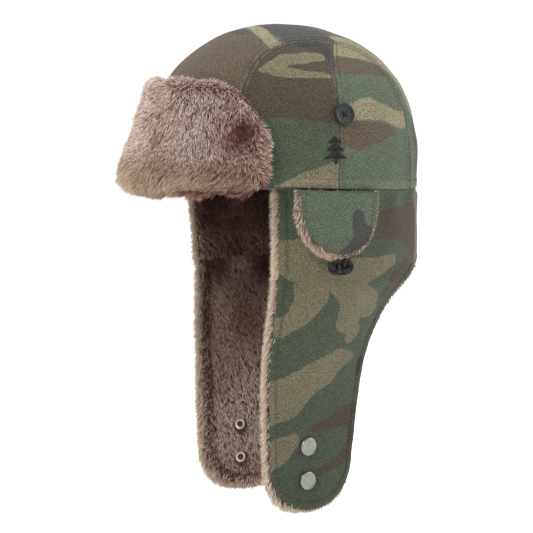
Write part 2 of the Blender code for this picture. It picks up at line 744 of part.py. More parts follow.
def make_brow_fur(tilt):
    """The thick fur side: a loft of its sections from the right temple to the left."""
    columns = 20
    limit = BROW_HALF_ANGLE * BROW_END
    mesh = bpy.data.meshes.new("brow_flap_fur")
    build = bmesh.new()
    loops = []
    for i in range(columns + 1):
        angle = limit * math.sin(math.pi / 2 * (2.0 * i / columns - 1.0))
        loops.append([build.verts.new(place) for place in brow_section(angle)])
    count = len(loops[0])
    for first, second in zip(loops, loops[1:]):
        for j in range(count):
            after = (j + 1) % count
            build.faces.new((first[j], first[after], second[after], second[j]))
    build.faces.new(loops[0][::-1])
    build.faces.new(loops[-1])
    bmesh.ops.recalc_face_normals(build, faces=build.faces)
    build.to_mesh(mesh)
    build.free()
    return add_object("brow_flap_fur", mesh, BROW_FUR, tilt)


def make_tacks(fur, tilt):
    """A thread tack at each temple, sunk in the fur, that holds the flap up."""
    for side, label in ((1, "left"), (-1, "right")):
        angle = side * TACK_ANGLE
        base = Vector(brow_point(angle, TACK_LEVEL, BROW_FUR_FROM + 0.0006))
        tip = Vector(brow_point(angle, TACK_LEVEL, BROW_FUR_TO))
        normal = (tip - base).normalized()
        pit = add_cylinder("cut_" + label + "_tack", TACK_PIT_RADIUS, TACK_PIT_DEPTH,
                           base + normal * (TACK_PIT_DEPTH / 2 - 0.0002), normal, sides=12,
                           parent=tilt)
        add_cutter(pit)
        cut(fur, pit)
        tack = add_cylinder("brow_tack_" + label, TACK_RADIUS, TACK_LENGTH,
                            base + normal * (TACK_LENGTH / 2 + 0.0010), normal, sides=10,
                            parent=tilt)
        tack.data.materials.append(make_material("brow_tack_" + label + "_finish", *THREAD))


def main():
    tilt = add_empty("crown_tilt", (0.0, 0.0, 0.0))
    tilt.rotation_euler = (-TIP_BACK, 0.0, 0.0)
    make_top_strip(tilt)
    make_side_panels(tilt)
    make_crown_lining(tilt)
    make_brow_shell(tilt)
    make_tacks(make_brow_fur(tilt), tilt)
    make_cover()
    for side, label in ((1, "left"), (-1, "right")):
        make_ear_flap(side, label)
        make_vent_flap(side, label, tilt)
        make_button(side, label, tilt)
    make_motif(tilt)


main()
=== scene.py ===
"""Trapper hat: its cloth, fur, thread and trimmings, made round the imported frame.

Metres, in the frame's own axes: +Z up, the wearer's face toward -Y, the wearer's left at +X.
The crown's own pieces are worked out level and then tipped back, as the frame has them.
"""
import math

import bmesh
import bpy
import numpy as np
from mathutils import Matrix, Vector
from mathutils.kdtree import KDTree


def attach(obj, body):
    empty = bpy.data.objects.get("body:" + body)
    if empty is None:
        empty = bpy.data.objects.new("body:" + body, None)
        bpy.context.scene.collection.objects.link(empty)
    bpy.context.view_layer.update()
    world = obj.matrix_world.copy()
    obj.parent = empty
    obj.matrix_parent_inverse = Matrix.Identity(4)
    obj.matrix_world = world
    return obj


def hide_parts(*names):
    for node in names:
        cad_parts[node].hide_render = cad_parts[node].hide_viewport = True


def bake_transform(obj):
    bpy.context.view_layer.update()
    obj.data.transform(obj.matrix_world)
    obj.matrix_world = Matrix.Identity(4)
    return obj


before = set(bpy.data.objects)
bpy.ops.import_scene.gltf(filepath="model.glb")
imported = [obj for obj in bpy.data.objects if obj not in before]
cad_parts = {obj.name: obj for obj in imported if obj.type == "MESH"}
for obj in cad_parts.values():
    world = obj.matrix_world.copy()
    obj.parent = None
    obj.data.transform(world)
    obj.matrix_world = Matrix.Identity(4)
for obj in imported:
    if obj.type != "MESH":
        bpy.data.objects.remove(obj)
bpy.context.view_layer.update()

# ------------------------------------------------------------ sizes shared with the solids
HALF_LENGTH, HALF_WIDTH, CROWN_HEIGHT, DOME_POWER = 0.1165, 0.088, 0.126, 2.8
TIP_BACK = math.radians(3.3)
SHELL = 0.0016
STRIP_HALF = 0.0435
HEM_SEAM_X = HALF_WIDTH * math.sin(math.radians(46))
SEAM_BLEND = 8
SIDE_SEAM, SIDE_SEAM_LEAN = math.radians(90), math.radians(15)
SIDE_SEAM_BEND, SIDE_SEAM_END = 2.7, 0.505
COVER_START, COVER_CORNER = math.radians(64.4), math.radians(134)
COVER_INSET, COVER_DROP = 0.001, 0.0004
NAPE_HALF_WIDTH, NAPE_HALF_LENGTH, NAPE_EDGE = 0.0806, 0.1195, -0.0655
NAPE_RISE = math.radians(18)
FOLD_Z, FOLD_GAP = -0.077, 0.004
FLAP_EDGES = (
    (-0.077, (0.0683, -0.0424), (0.0580, 0.0830)),
    (-0.096, (0.0664, -0.0435), (0.0565, 0.0670)),
    (-0.115, (0.0640, -0.0448), (0.0550, 0.0555)),
    (-0.137, (0.0616, -0.0457), (0.0530, 0.0470)),
    (-0.174, (0.0602, -0.0456), (0.0510, 0.0420)),
    (-0.215, (0.0592, -0.0440), (0.0495, 0.0370)),
    (-0.257, (0.0580, -0.0420), (0.0490, 0.0340)),
)
FLAP_BULGE = ((-0.077, 0.016), (-0.115, 0.010), (-0.174, 0.004), (-0.257, 0.002))
FLAP_END, FLAP_ROUND = -0.257, 0.036
VENT_HALF_WIDTH, VENT_LENGTH, VENT_STANDOFF, VENT_TOP = 0.037, 0.0525, 0.005, -0.0015
VENT_SHELL, VENT_LEAN = 0.0014, 0.003
PORT_CENTRE, PORT_HALF = (0.0, -0.030), (0.022, 0.016)
LOOP_DIAMETER, LOOP_HALF, LOOP_DROP, LOOP_GAP = 0.0022, 0.0100, 0.0085, 0.0018
BUTTON_PLACE, BUTTON_RADIUS = (0.0035, 0.0570), 0.009
MOTIF_PLACE = (-0.0040, 0.0300)
BROW_HALF_ANGLE, BROW_END = math.radians(62.5), 0.985
BROW_TOP, BROW_BOTTOM, BROW_LIP = 0.080, -0.012, -0.007
BROW_FUR_FROM, BROW_FUR_TO = 0.0045, 0.019
BROW_WAIST, BROW_RISE = 0.0085, 0.005
TACK_ANGLE, TACK_LEVEL = math.radians(50), 0.043
SNAP_LEVELS, SNAP_ALONG = (-0.206, -0.2336), -0.009

# ------------------------------------------------------------ sizes of the visible cloth
SPLIT = -0.0655               # level where the cover ends and the hinged flap begins
SEAM_GAP = 0.00006
HEM_STITCH = 0.0070           # topstitch above the crown's hem
FLAP_STITCH = 0.0055          # topstitch inside the flap's edge
TILT = np.array(Matrix.Rotation(-TIP_BACK, 3, "X"))
SIDES = ((1, "left"), (-1, "right"))


def smooth(value):
    value = np.clip(value, 0.0, 1.0)
    return value * value * (3.0 - 2.0 * value)


def tipped(points):
    """Points of the level crown in the hat's own frame."""
    return np.asarray(points, float) @ TILT.T


def unit(vectors):
    return vectors / np.maximum(np.linalg.norm(vectors, axis=-1, keepdims=True), 1e-12)


def rows_of(*parts):
    return np.stack(np.broadcast_arrays(*parts), axis=-1).astype(float)


def grain(points, size, seed=0):
    """Smooth noise from -1 to 1 on a lattice of that size."""
    q = np.asarray(points, float) / size
    cell = np.floor(q).astype(np.int64)
    f = smooth(q - cell)
    total = np.zeros(q.shape[:-1])
    for corner in range(8):
        step = np.array([corner & 1, (corner >> 1) & 1, corner >> 2])
        key = ((cell + step) * np.array([73856093, 19349663, 83492791])).sum(-1) + seed * 9781
        key = (key ^ (key >> 13)) * 1274126177 & 0xFFFFFFFF
        key = (key ^ (key >> 15)) * 2246822519 & 0xFFFFFFFF
        value = ((key ^ (key >> 14)) & 0xFFFFFF) / 0x7FFFFF - 1.0
        weight = np.prod(np.where(step == 1, f, 1.0 - f), axis=-1)
        total += value * weight
    return total


def curve_value(levels, values, level):
    """Smooth curve through values given at falling levels."""
    rising, data = np.array(levels[::-1]), np.array(values[::-1])
    slopes = np.gradient(data, rising)
    level = np.clip(np.asarray(level, float), rising[0], rising[-1])
    i = np.clip(np.searchsorted(rising, level, side="right") - 1, 0, len(rising) - 2)
    span = rising[i + 1] - rising[i]
    s = (level - rising[i]) / span
    return ((1 + 2 * s) * (1 - s) ** 2 * data[i] + s * (1 - s) ** 2 * span * slopes[i]
            + s * s * (3 - 2 * s) * data[i + 1] - s * s * (1 - s) * span * slopes[i + 1])


# ------------------------------------------------------------ the surfaces

def dome_level(ring):
    return CROWN_HEIGHT * np.maximum(1.0 - ring * ring, 0.0) ** (1.0 / DOME_POWER)


def dome_ring(level):
    return np.sqrt(np.maximum(1.0 - (level / CROWN_HEIGHT) ** DOME_POWER, 0.0))


def dome_normal(points):
    x, y, z = points[..., 0], points[..., 1], np.maximum(points[..., 2], 0.0)
    return unit(rows_of(2 * x / HALF_WIDTH ** 2, 2 * y / HALF_LENGTH ** 2,
                        DOME_POWER * (z / CROWN_HEIGHT) ** (DOME_POWER - 1) / CROWN_HEIGHT))


def strip_edge(ring):
    return ((HEM_SEAM_X * ring) ** SEAM_BLEND + STRIP_HALF ** SEAM_BLEND) ** (1.0 / SEAM_BLEND)


def side_seam(ring):
    lean = np.maximum(1.0 - ring, 0.0) / (1.0 - SIDE_SEAM_END)
    return SIDE_SEAM + SIDE_SEAM_LEAN * lean ** SIDE_SEAM_BEND


def dome_side(along, level, side=1):
    """Side of the crown at a place along it: the point and its outward normal, level."""
    ring = dome_ring(np.asarray(level, float))
    x = HALF_WIDTH * np.sqrt(ring ** 2 - (along / HALF_LENGTH) ** 2)
    point = rows_of(x, along, level)
    normal = dome_normal(point)
    flip = np.array([side, 1, 1])
    return point * flip, normal * flip


def seam_distances(points):
    """How far a point of the level crown is from the strip's seams and the side seams."""
    x, y = np.abs(points[..., 0]), points[..., 1]
    ring = np.sqrt((x / HALF_WIDTH) ** 2 + (y / HALF_LENGTH) ** 2)
    across = np.sqrt(np.maximum(1.0 - dome_normal(points)[..., 0] ** 2, 0.05))
    strip = (x - strip_edge(ring)) / across
    angle = np.arctan2(x / HALF_WIDTH, -y / HALF_LENGTH)
    seam = (angle - side_seam(ring)) * HALF_LENGTH * ring * 0.93
    seam = np.where((ring > SIDE_SEAM_END) & (strip > -0.002), seam, 1.0)
    return strip, seam


def seam_relief(distance, points, seed):
    """Height of the cloth beside a seam with a row of topstitching on each side of it."""
    away = np.abs(distance)
    relief = -0.0006 * np.exp(-(away / 0.0007) ** 2)
    relief = relief + 0.00055 * smooth((0.0068 - away) / 0.0016)
    relief -= 0.00050 * np.exp(-((away - 0.0030) / 0.00065) ** 2)
    pucker = np.exp(-away / 0.0065)
    relief += 0.00055 * pucker * grain(points, 0.0062, seed)
    return relief


def crown_relief(points):
    strip, seam = seam_distances(points)
    z = points[..., 2]
    relief = seam_relief(strip, points, 1) + seam_relief(seam, points, 2)
    hem = smooth((0.0086 - z) / 0.0012)
    relief += 0.00060 * hem - 0.00050 * np.exp(-((z - HEM_STITCH) / 0.00070) ** 2)
    relief += 0.00045 * np.exp(-z / 0.012) * grain(points, 0.011, 3)
    relief += 0.0011 * grain(points, 0.042, 4) + 0.00045 * grain(points, 0.017, 5)
    relief -= 0.0006 * np.exp(-((z - 0.0002) / 0.0008) ** 2)
    back_corner = np.linalg.norm(np.abs(points) - np.array([0.055, 0.088, 0.052]), axis=-1)
    creases = np.sin(points[..., 2] / 0.0042 + 2.0 * grain(points, 0.02, 6))
    relief += 0.0010 * np.exp(-(back_corner / 0.016) ** 2) * creases
    return relief


def crown_cloth(points, lift=0.0):
    """Points of the level dome, raised by the cloth's relief and put in the hat's frame."""
    normal = dome_normal(points)
    return tipped(points + normal * (crown_relief(points) + lift)[..., None])


def flap_edge(level, rear):
    """Across and along of the ear flap's edge at a level."""
    levels = [row[0] for row in FLAP_EDGES]
    return tuple(curve_value(levels, [row[2 if rear else 1][k] for row in FLAP_EDGES], level)
                 for k in (0, 1))


def flap_across(along, level):
    front, rear = flap_edge(level, False), flap_edge(level, True)
    share = (along - front[1]) / (rear[1] - front[1])
    bulge = curve_value([row[0] for row in FLAP_BULGE], [row[1] for row in FLAP_BULGE], level)
    share_in = np.clip(share, -0.15, 1.15)
    return front[0] + (rear[0] - front[0]) * share + bulge * 4.0 * share_in * (1.0 - share_in)


def cover_point(angle, level):
    """The left half of the cover at an angle from the front and a level, in the hat's frame."""
    half_x, half_y = HALF_WIDTH - COVER_INSET, HALF_LENGTH - COVER_INSET
    top = tipped(rows_of(half_x * np.sin(angle), -half_y * np.cos(angle), -COVER_DROP))
    front, rear = flap_edge(FOLD_Z, False), flap_edge(FOLD_Z, True)
    share = (angle - COVER_START) / (COVER_CORNER - COVER_START)
    along = front[1] + (rear[1] - front[1]) * share
    ear = rows_of(flap_across(along, FOLD_Z), along, FOLD_Z + FOLD_GAP)
    rise = smooth((angle - COVER_CORNER) / NAPE_RISE)
    nape = rows_of(NAPE_HALF_WIDTH * np.sin(angle), -NAPE_HALF_LENGTH * np.cos(angle),
                   (FOLD_Z + FOLD_GAP) * (1.0 - rise) + NAPE_EDGE * rise)
    low = np.where((angle > COVER_CORNER)[..., None], nape, ear)
    wrap = smooth((angle - COVER_START) / math.radians(18))
    drop = np.clip((top[..., 2] - level) / (top[..., 2] - low[..., 2]), 0.0, 1.2)
    move = drop ** (0.25 + 0.75 * wrap)
    return rows_of(top[..., 0] + (low[..., 0] - top[..., 0]) * move,
                   top[..., 1] + (low[..., 1] - top[..., 1]) * move, level)


def ear_across(along, level):
    """How far out the ear's cloth lies, from the cover's lower edge down."""
    along, level = np.broadcast_arrays(np.asarray(along, float), np.asarray(level, float))
    below = flap_across(along, np.minimum(level, FOLD_Z))
    angles = np.linspace(COVER_START - 0.05, COVER_CORNER + NAPE_RISE + 0.05, 90)
    result = below.copy()
    for z in np.unique(level[level > FOLD_Z]):
        here = level == z
        line = cover_point(angles, np.full_like(angles, z))
        above = np.interp(along[here], line[:, 1], line[:, 0])
        mix = smooth((z - FOLD_Z) / (SPLIT - FOLD_Z))
        result[here] = above * mix + below[here] * (1.0 - mix)
    return result


def flap_outline(level, border=0.0):
    """Front and rear edge of the hinged ear flap at a level, with its rounded end."""
    on_cloth = np.clip(level, FLAP_END, FOLD_Z)
    front, rear = flap_edge(on_cloth, False)[1], flap_edge(on_cloth, True)[1]
    flare = np.clip((level - (FOLD_Z - 0.012)) / (SPLIT - FOLD_Z + 0.012), 0.0, 1.0)
    corner = cover_point(np.array([COVER_CORNER + NAPE_RISE]), np.array([SPLIT]))[0, 1]
    rear = rear + (corner - rear) * flare ** 2.6
    bottom = FLAP_END - border
    rounding = np.clip((bottom + FLAP_ROUND - level) / FLAP_ROUND, 0.0, 1.0)
    width = (1.0 - rounding ** 2.4) ** (1.0 / 2.2)
    middle, half = 0.5 * (front + rear), 0.5 * (rear - front) + border
    half = np.maximum(half * width, 0.0035)
    return middle - half, middle + half


def falling(top, bottom, count, power=0.75):
    """Levels from top to bottom, closer together toward the bottom."""
    share = np.linspace(0.0, 1.0, count)
    return top + (bottom - top) * (1.0 - (1.0 - share) ** (1.0 / power)) ** 0.9


# ------------------------------------------------------------ meshes

def new_object(name, vertices, faces, materials, body=None, replaces=()):
    mesh = bpy.data.meshes.new(name)
    mesh.from_pydata(vertices, [], faces)
    mesh.update()
    mesh.shade_smooth()
    item = bpy.data.objects.new(name, mesh)
    bpy.context.scene.collection.objects.link(item)
    for material in materials if isinstance(materials, (list, tuple)) else [materials]:
        mesh.materials.append(material)
    if body:
        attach(item, body)
    if replaces:
        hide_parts(*([replaces] if isinstance(replaces, str) else replaces))
    return item


def grid_faces(count_rows, count_columns, flip=False, wrap=False, start=0):
    index = np.arange(count_rows * count_columns).reshape(count_rows, count_columns) + start
    if wrap:
        index = np.concatenate([index, index[:, :1]], axis=1)
    a, b, c, d = index[:-1, :-1], index[1:, :-1], index[1:, 1:], index[:-1, 1:]
    corners = (d, c, b, a) if flip else (a, b, c, d)
    return np.stack(corners, -1).reshape(-1, 4)


def grid_normals(grid, flip=False):
    normal = np.cross(np.gradient(grid, axis=0), np.gradient(grid, axis=1))
    return unit(-normal if flip else normal)


def set_attribute(item, name, values, kind="FLOAT"):
    attribute = item.data.attributes.new(name, kind, "POINT")
    key = "vector" if kind == "FLOAT_VECTOR" else "value"
    attribute.data.foreach_set(key, np.ascontiguousarray(values, np.float32).ravel())


def cloth_lengths(grid):
    """Place on the flat cloth of each point of a grid, from the lengths along it."""
    across = np.linalg.norm(np.diff(grid, axis=1), axis=2).cumsum(axis=1)
    across = np.concatenate([np.zeros_like(across[:, :1]), across], axis=1)
    across -= across[:, across.shape[1] // 2][:, None]
    down = np.linalg.norm(np.diff(grid, axis=0), axis=2).mean(axis=1).cumsum()
    down = np.concatenate([[0.0], down])[:, None]
    return rows_of(across, down, 0.0)


def edge_distance(points, line):
    """Distance of each point from a closely drawn line."""
    flat = points.reshape(-1, points.shape[-1])
    tree = KDTree(len(line))
    pad = np.zeros((len(line), 3))
    pad[:, :line.shape[1]] = line
    for i, place in enumerate(pad):
        tree.insert(place, i)
    tree.balance()
    result = np.empty(len(flat))
    for i, place in enumerate(flat):
        result[i] = tree.find((*place, 0.0)[:3])[2]
    return result.reshape(points.shape[:-1])


def offset_line(line, distance, turn=1):
    """A plane line moved sideways by a distance, without its folded-back parts."""
    along = unit(np.gradient(line, axis=0))
    moved = line + turn * distance * np.stack([-along[:, 1], along[:, 0]], axis=1)
    keep = edge_distance(moved, line) > 0.985 * abs(distance)
    return moved[keep]


# ------------------------------------------------------------ materials

def node_material(name):
    material = bpy.data.materials.new(name)
    material.use_nodes = True
    return material, material.node_tree, material.node_tree.nodes["Principled BSDF"]


def plain_material(name, colour, roughness=0.8, metallic=0.0, sheen=0.0, specular=0.5):
    material, _, shader = node_material(name)
    shader.inputs["Base Color"].default_value = (*colour, 1.0)
    shader.inputs["Roughness"].default_value = roughness
    shader.inputs["Metallic"].default_value = metallic
    shader.inputs["Sheen Weight"].default_value = sheen
    shader.inputs["Specular IOR Level"].default_value = specular
    return material


class Nodes:
    """Short calls for building a node tree."""

    def __init__(self, tree):
        self.tree = tree

    def add(self, kind, **values):
        node = self.tree.nodes.new("ShaderNode" + kind)
        for key, value in values.items():
            setattr(node, key, value)
        return node

    def link(self, source, target):
        if hasattr(source, "links") or hasattr(source, "is_linked"):
            self.tree.links.new(source, target)
        else:
            target.default_value = source

    def attribute(self, name, output="Fac"):
        return self.add("Attribute", attribute_name=name).outputs[output]

    def math(self, operation, first, second=0.0, third=0.0):
        node = self.add("Math", operation=operation)
        for socket, value in zip(node.inputs, (first, second, third)):
            self.link(value, socket)
        return node.outputs[0]

    def scale(self, vector, factors):
        node = self.add("VectorMath", operation="MULTIPLY")
        self.link(vector, node.inputs[0])
        self.link(factors, node.inputs[1])
        return node.outputs[0]

    def noise(self, vector, scale, detail=2.0, roughness=0.5):
        node = self.add("TexNoise")
        self.link(vector, node.inputs["Vector"])
        node.inputs["Scale"].default_value = scale
        node.inputs["Detail"].default_value = detail
        node.inputs["Roughness"].default_value = roughness
        return node.outputs[0]

    def range(self, value, low, high, to_low=0.0, to_high=1.0, smooth_step=False):
        node = self.add("MapRange")
        node.interpolation_type = "SMOOTHSTEP" if smooth_step else "LINEAR"
        for socket, item in zip(node.inputs, (value, low, high, to_low, to_high)):
            self.link(item, socket)
        return node.outputs[0]

    def mix(self, factor, first, second, blend="MIX"):
        node = self.add("Mix", data_type="RGBA", blend_type=blend)
        self.link(factor, node.inputs[0])
        self.link(first, node.inputs[6])
        self.link(second, node.inputs[7])
        return node.outputs[2]

    def bump(self, height, strength, distance):
        node = self.add("Bump")
        node.inputs["Strength"].default_value = strength
        node.inputs["Distance"].default_value = distance
        self.link(height, node.inputs["Height"])
        return node.outputs[0]


GREEN, KHAKI = (0.100, 0.129, 0.080, 1), (0.272, 0.241, 0.146, 1)
BROWN, CHARCOAL = (0.108, 0.080, 0.054, 1), (0.056, 0.057, 0.052, 1)
# Per-piece multiplier on the print's colour, mostly painted shade: the front panels, shaded by the
# brow flap, and the ear cover and flaps are painted darker
PIECE_TONE_AND_SHADE = {"strip": 0.98, "front": 0.70, "back": 1.0, "ear": 0.62, "vent": 1.0}
PRINT_SOFTNESS = 0.0005


def camo_material():
    """Washed twill printed in four colours; the print's shapes are measured on the cloth."""
    material, tree, shader = node_material("camo_twill_cloth")
    n = Nodes(tree)
    rest = n.attribute("rest", "Vector")
    cloth = n.attribute("cloth", "Vector")
    ragged = n.math("MULTIPLY", n.math("SUBTRACT", n.noise(rest, 480.0, 2.0), 0.5), 0.0016)
    colour = GREEN
    for layer, ink in (("brown", BROWN), ("khaki", KHAKI), ("charcoal", CHARCOAL)):
        depth = n.math("ADD", n.attribute(layer), ragged)
        mask = n.range(depth, -PRINT_SOFTNESS, PRINT_SOFTNESS, smooth_step=True)
        colour = n.mix(mask, colour, ink)
    slub = n.noise(n.scale(cloth, (1500.0, 240.0, 1.0)), 1.0, 2.0)
    slub = n.math("ADD", slub, n.noise(n.scale(cloth, (260.0, 1300.0, 1.0)), 1.0, 2.0))
    ridge = n.add("SeparateXYZ")
    n.link(cloth, ridge.inputs[0])
    diagonal = n.math("ADD", ridge.outputs[0], n.math("MULTIPLY", ridge.outputs[1], 0.7))
    twill = n.math("SINE", n.math("MULTIPLY", diagonal, 2 * math.pi / 0.00085))
    fade = n.noise(rest, 28.0, 3.0, 0.6)
    fleck = n.noise(n.scale(cloth, (1150.0, 640.0, 1.0)), 1.0, 2.0, 0.6)
    patch = n.noise(rest, 110.0, 2.0, 0.6)
    value = n.range(slub, 0.70, 1.30, 0.66, 1.34)
    value = n.math("MULTIPLY", value, n.range(fleck, 0.34, 0.66, 0.46, 1.54))
    value = n.math("MULTIPLY", value, n.range(patch, 0.3, 0.7, 0.92, 1.08))
    # per-piece and per-place darkening of the print: mostly painted shade
    value = n.math("MULTIPLY", value, n.attribute("tone_and_shade"))
    value = n.math("MULTIPLY", value, n.range(fade, 0.3, 0.7, 0.93, 1.08))
    value = n.math("MULTIPLY", value, n.range(twill, -1.0, 1.0, 0.95, 1.05))
    colour = n.mix(1.0, colour, value, "MULTIPLY")
    worn = n.math("MULTIPLY", n.attribute("wear"), n.range(n.noise(rest, 300.0), 0.35, 0.65))
    colour = n.mix(n.math("MULTIPLY", worn, 0.35), colour, (0.27, 0.26, 0.21, 1))
    colour = n.mix(n.math("MULTIPLY", n.attribute("shade"), 0.55), colour,
                   (0.022, 0.022, 0.019, 1))
    n.link(colour, shader.inputs["Base Color"])
    n.link(n.range(fade, 0.3, 0.7, 0.80, 0.92), shader.inputs["Roughness"])
    shader.inputs["Sheen Weight"].default_value = 0.12
    shader.inputs["Sheen Roughness"].default_value = 0.6
    shader.inputs["Specular IOR Level"].default_value = 0.25
    height = n.math("ADD", n.math("MULTIPLY", twill, 0.35), n.math("MULTIPLY", slub, 0.9))
    n.link(n.bump(height, 0.55, 0.00022), shader.inputs["Normal"])
    return material


def skin_material(name, dark, light):
    """Knitted backing of the pile, seen between its hairs."""
    material, tree, shader = node_material(name)
    n = Nodes(tree)
    rest = n.add("TexCoord").outputs["Object"]
    tufts = n.noise(rest, 900.0, 3.0, 0.6)
    n.link(n.mix(n.range(tufts, 0.35, 0.65), dark, light), shader.inputs["Base Color"])
    shader.inputs["Roughness"].default_value = 0.95
    shader.inputs["Specular IOR Level"].default_value = 0.1
    n.link(n.bump(tufts, 0.6, 0.0006), shader.inputs["Normal"])
    return material


def quilt_material():
    material, tree, shader = node_material("quilt_lining_satin")
    n = Nodes(tree)
    rest = n.add("TexCoord").outputs["Object"]
    weave = n.noise(rest, 1500.0, 2.0)
    n.link(n.mix(n.range(weave, 0.3, 0.7), (0.020, 0.020, 0.022, 1), (0.040, 0.040, 0.043, 1)),
           shader.inputs["Base Color"])
    n.link(n.range(weave, 0.3, 0.7, 0.48, 0.62), shader.inputs["Roughness"])
    shader.inputs["Sheen Weight"].default_value = 0.2
    n.link(n.bump(weave, 0.4, 0.0002), shader.inputs["Normal"])
    return material


def thread_material(name, dark, light):
    material, tree, shader = node_material(name)
    n = Nodes(tree)
    rest = n.add("TexCoord").outputs["Object"]
    ply = n.noise(rest, 1400.0, 2.0)
    n.link(n.mix(n.range(ply, 0.35, 0.65), dark, light), shader.inputs["Base Color"])
    n.link(n.range(ply, 0.3, 0.7, 0.55, 0.75), shader.inputs["Roughness"])
    n.link(n.bump(ply, 0.5, 0.0002), shader.inputs["Normal"])
    return material


def plastic_material():
    material, tree, shader = node_material("button_black_plastic")
    n = Nodes(tree)
    rest = n.add("TexCoord").outputs["Object"]
    wear = n.noise(rest, 700.0, 4.0, 0.65)
    n.link(n.mix(n.range(wear, 0.45, 0.75), (0.012, 0.013, 0.014, 1), (0.026, 0.028, 0.031, 1)),
           shader.inputs["Base Color"])
    n.link(n.range(wear, 0.3, 0.7, 0.26, 0.44), shader.inputs["Roughness"])
    n.link(n.bump(wear, 0.15, 0.0002), shader.inputs["Normal"])
    return material


def nickel_material(name, dark, light):
    """Brushed plating: fine turned lines come from its noise squeezed along the radius."""
    material, tree, shader = node_material(name)
    n = Nodes(tree)
    rest = n.add("TexCoord").outputs["Object"]
    lines = n.noise(n.scale(rest, (4.0, 1.0, 0.25)), 1600.0, 3.0, 0.6)
    n.link(n.mix(n.range(lines, 0.3, 0.7), dark, light), shader.inputs["Base Color"])
    shader.inputs["Metallic"].default_value = 1.0
    n.link(n.range(lines, 0.3, 0.7, 0.26, 0.42), shader.inputs["Roughness"])
    n.link(n.bump(lines, 0.2, 0.0001), shader.inputs["Normal"])
    return material


CAMO = camo_material()
BROW_SKIN = skin_material("brow_pile_backing", (0.090, 0.040, 0.030, 1), (0.20, 0.11, 0.085, 1))
LINING_SKIN = skin_material("lining_pile_backing", (0.060, 0.028, 0.022, 1),
                            (0.150, 0.082, 0.064, 1))
QUILT = quilt_material()
THREAD = thread_material("topstitch_thread", (0.075, 0.062, 0.046, 1), (0.125, 0.108, 0.080, 1))
HEM_THREAD = thread_material("hem_thread", (0.060, 0.028, 0.020, 1), (0.100, 0.052, 0.038, 1))
DARK_THREAD = thread_material("dark_brown_thread", (0.010, 0.006, 0.005, 1),
                              (0.026, 0.017, 0.014, 1))
PLASTIC = plastic_material()
NICKEL = nickel_material("snap_brushed_nickel", (0.26, 0.255, 0.24, 1), (0.46, 0.455, 0.43, 1))
# A lighter copy of the snap nickel for the eyelets: painted light, as the eyelets lie in the
# lining's shade
LIT_EYELET_NICKEL = nickel_material("eyelet_nickel_painted_light", (0.72, 0.71, 0.68, 1),
                              (0.93, 0.92, 0.89, 1))
ELASTIC = thread_material("black_elastic_braid", (0.003, 0.003, 0.0035, 1),
                          (0.010, 0.010, 0.011, 1))

BROW_SHADES = [plain_material("brow_hair_" + name, colour, 0.62, sheen=0.2, specular=0.3)
               for name, colour in (
                   ("root", (0.165, 0.060, 0.046)), ("russet", (0.37, 0.185, 0.150)),
                   ("fawn", (0.54, 0.345, 0.285)), ("tan_tip", (0.66, 0.50, 0.40)),
                   ("pale_tip", (0.92, 0.83, 0.76)), ("khaki_tip", (0.56, 0.48, 0.33)))]
LINING_SHADES = [plain_material("lining_hair_" + name, colour, 0.68, sheen=0.15, specular=0.25)
                 for name, colour in (
                     ("root", (0.100, 0.043, 0.034)), ("brown", (0.26, 0.135, 0.104)),
                     ("russet", (0.44, 0.265, 0.210)), ("tan_tip", (0.60, 0.45, 0.36)),
                     ("pale_tip", (0.80, 0.71, 0.61)), ("khaki_tip", (0.56, 0.47, 0.34)))]

# Lighter copies of the lining hair for hairs at the cloth's edges: partly the paler hair of the
# rolled edge, partly painted light for edges that lie in shade
BORDER_HAIR_LIT_PALETTE = [plain_material("border_hair_lit_" + name, colour, 0.66, sheen=0.15, specular=0.25)
                 for name, colour in (
                     ("root", (0.22, 0.130, 0.100)), ("brown", (0.42, 0.285, 0.225)),
                     ("russet", (0.57, 0.415, 0.325)), ("tan_tip", (0.73, 0.575, 0.44)),
                     ("pale_tip", (0.93, 0.84, 0.70)), ("khaki_tip", (0.70, 0.59, 0.42)))]


# ------------------------------------------------------------ the print

